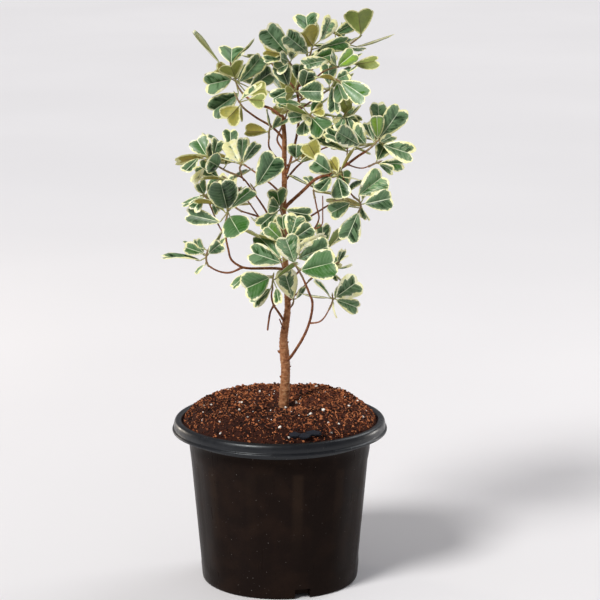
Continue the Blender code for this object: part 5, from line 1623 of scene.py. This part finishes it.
# Soil colours
COIR_BROWNS = [(0.28, (0.008, 0.002, 0.001)), (0.46, (0.054, 0.012, 0.005)),
               (0.62, (0.240, 0.062, 0.022)), (0.86, (0.600, 0.215, 0.085))]
DARK_PATCH = (0.060, 0.014, 0.006)
DARKER_NEAR_TRUNK = (0.016, 0.009, 0.008)
PERLITE_WHITES = [(1.0, 0.980, 0.930), (0.860, 0.790, 0.710)]
CHIP_BLACK = (0.014, 0.016, 0.024)


def soil_skin():
    """Coir painted lighter at the back right, a painted light, and darker round the trunk, with
    perlite and a chip.
    """
    paint = Paint("coir_crumbs", 0.92, 0.25)
    kind, tone, loose = paint.read("grain")
    point, parts = paint.place()
    patch = paint.speckle(point, 60.0, 3.0)
    grain = paint.speckle(point, 700.0, 4.0, 0.7)
    spread = paint.times(paint.minus(tone, 0.5), paint.step(loose, 0.3, 0.7, 0.4, 0.95))
    mixed = paint.plus(grain, paint.minus(spread, paint.step(loose, 0.3, 0.7, 0.12, 0.03)))
    # Painted light: the coir is painted lighter towards the back right, as if lit from there.
    back_right_light = paint.plus(paint.times(parts[0], 0.7), parts[1])
    mixed = paint.plus(mixed, paint.step(back_right_light, -0.10, 0.11, -0.05, 0.13))
    coir = paint.ramp(mixed, COIR_BROWNS)
    coir = paint.blend(paint.step(patch, 0.35, 0.65, 0.0, 0.3), coir, DARK_PATCH)
    # The coir is painted darker within about 22 mm of the trunk's foot.
    right = paint.minus(parts[0], TRUNK_FOOT[0] * MM)
    far = paint.math("SQRT", paint.plus(paint.times(right, right), paint.times(parts[1], parts[1])))
    coir = paint.blend(paint.step(far, 0.008, 0.022, 0.6, 0.0), coir, DARKER_NEAR_TRUNK)
    white = paint.blend(paint.step(grain, 0.3, 0.7), *PERLITE_WHITES)
    colour = paint.blend(paint.step(kind, 0.4, 0.6), coir, white)
    colour = paint.blend(paint.step(kind, 1.4, 1.6), colour, CHIP_BLACK)
    return paint.finish(colour, None, grain, 0.0009)


# Pot colours: plain and scuffed plastic, dust, and painted reflections along the crests of the
# flutes
# The wall and the rim are one plastic: the warm cast of the wall and the blue cast of the rim, in
# base colour and gloss tint, are painted reflections of warm surroundings and of the sky.
WALL_BLACKS = [(0.0095, 0.0062, 0.0054), (0.0140, 0.0084, 0.0066)]
RIM_BLACKS = [(0.0050, 0.0055, 0.0075), (0.0095, 0.0100, 0.0125)]
WALL_WARM_REFLECTION_TINT = (1.0, 0.74, 0.58)
RIM_SKY_REFLECTION_TINT = (0.92, 0.97, 1.0)
DUST = (0.260, 0.240, 0.220)
PAINTED_CREST_REFLECTION = (0.034, 0.021, 0.014)


def pot_skin(name, blacks, tint, shine, crest_reflection):
    """Black plastic. Its tint is that of its gloss, and the last argument says how pale the flute
    crests are painted: a painted reflection of the surroundings in the glossy wall.
    """
    paint = Paint(name, 0.3, shine)
    paint.surface.inputs["Specular Tint"].default_value = (*tint, 1.0)
    point, parts = paint.place()
    upright = paint.join(parts[0], parts[1], paint.times(parts[2], 0.08))
    streaks = paint.speckle(upright, 160.0, 3.0)
    dust = paint.speckle(point, 520.0, 2.0)
    scuffs = paint.speckle(point, 46.0, 3.0)
    colour = paint.blend(paint.step(scuffs, 0.4, 0.7), *blacks)
    colour = paint.blend(paint.step(dust, 0.73, 0.78, 0.0, 0.5), colour, DUST)
    # Painted reflection: paler bands along the flute crests stand for the surroundings mirrored in
    # the glossy wall.
    turn = paint.math("ARCTAN2", parts[1], parts[0])
    crest = paint.math("COSINE", paint.scaled(turn, FLUTE_COUNT, -FLUTE_COUNT * FLUTE_TURN))
    height = parts[2]
    fluted = paint.times(paint.step(height, 0.03, 0.12), paint.step(height, 0.129, 0.134, 1.0, 0.0))
    uneven = paint.step(paint.speckle(upright, 14.0, 1.0), 0.35, 0.62, 0.1, crest_reflection)
    band = paint.times(paint.times(paint.step(crest, 0.55, 1.0), fluted), uneven)
    colour = paint.blend(band, colour, PAINTED_CREST_REFLECTION)
    rubbed = paint.step(scuffs, 0.5, 0.8, 0.0, 0.08)
    gloss = paint.plus(paint.step(streaks, 0.3, 0.7, 0.27, 0.39), rubbed)
    return paint.finish(colour, gloss, paint.scaled(streaks, 0.5, dust), 0.00006)


def floor_skin():
    paint = Paint("pale_floor", 0.6, 0.3)
    soft = paint.speckle(paint.place()[0], 1.2, 2.0)
    return paint.finish(paint.blend(paint.step(soft, 0.3, 0.7), *FLOOR_PALES))


# Stage, in metres: the floor's corners, the lamps, and the camera
FLOOR_PALES = [(0.790, 0.780, 0.800), (0.815, 0.805, 0.825)]
FLOOR = [(-14.0, -6, 0), (14.0, -6, 0), (14.0, 22, 0), (-14.0, 22, 0)]
# Suns have the direction that they shine from, and their spread in degrees. Panels have
# their place and size, and face the plant.
LAMPS = [
    ("key", "SUN", (-0.9, -1.05, 1.25), 18, 3.0, (1.0, 0.985, 0.955)),
    ("rim", "SUN", (0.9, 0.9, 1.1), 30, 0.7, (0.96, 0.98, 1.0)),
    ("left_panel", "AREA", (-1.5, 1.3, 0.35), 0.3, 7.0, (1.0, 0.88, 0.74)),
    ("right_panel", "AREA", (1.6, 0.9, 0.35), 0.3, 5.0, (1.0, 0.94, 0.88)),
]
PANEL_AIM = Vector((0.0, 0.0, 0.3))
SKY = (0.89, 0.88, 0.91)
SKY_STRENGTH = 0.32
FOCAL_LENGTH = 144.0
SENSOR_WIDTH = 36.0
FARTHEST = 60.0


def facing(way):
    return way.to_track_quat("-Z", "Y").to_euler()


def add_lamp(name, kind, place, size, power, colour):
    lamp = bpy.data.lights.new(name, kind)
    lamp.energy = power
    lamp.color = colour
    light = show(name, lamp)
    if kind == "SUN":
        lamp.angle = math.radians(size)
        light.rotation_euler = facing(-Vector(place))
    else:
        lamp.shape = "DISK"
        lamp.size = size
        light.location = place
        light.rotation_euler = facing(PANEL_AIM - Vector(place))


def make_stage():
    """A plain pale floor, soft studio light, and the camera at the photograph's view."""
    mesh = bpy.data.meshes.new("floor")
    mesh.from_pydata(FLOOR, [], [(0, 1, 2, 3)])
    mesh.materials.append(floor_skin())
    floor = show("floor", mesh)
    for lamp in LAMPS:
        add_lamp(*lamp)
    world = bpy.data.worlds.new("studio")
    world.use_nodes = True
    sky = world.node_tree.nodes["Background"]
    sky.inputs["Color"].default_value = (*SKY, 1.0)
    sky.inputs["Strength"].default_value = SKY_STRENGTH
    scene = bpy.context.scene
    scene.world = world
    scene.view_settings.view_transform = "Standard"
    lens = bpy.data.cameras.new("camera")
    lens.lens = FOCAL_LENGTH
    lens.sensor_width = SENSOR_WIDTH
    lens.clip_end = FARTHEST
    camera = show("camera", lens)
    camera.location = EYE * MM
    camera.rotation_euler = facing(AIM * MM - camera.location)
    scene.camera = camera


def main():
    make_stage()
    wall = pot_skin("black_plastic_wall", WALL_BLACKS, WALL_WARM_REFLECTION_TINT, 0.04, 0.5)
    rim = pot_skin("black_plastic_rim", RIM_BLACKS, RIM_SKY_REFLECTION_TINT, 0.4, 0.0)
    make_fine_pot([wall, rim])
    make_fine_soil(soil_skin())
    make_bark(bark_skin())
    materials = [leaf_upper(), leaf_under(), leaf_stalk()]
    for shoot, leaves in place_leaves().items():
        make_spray(shoot, leaves, materials)


main()
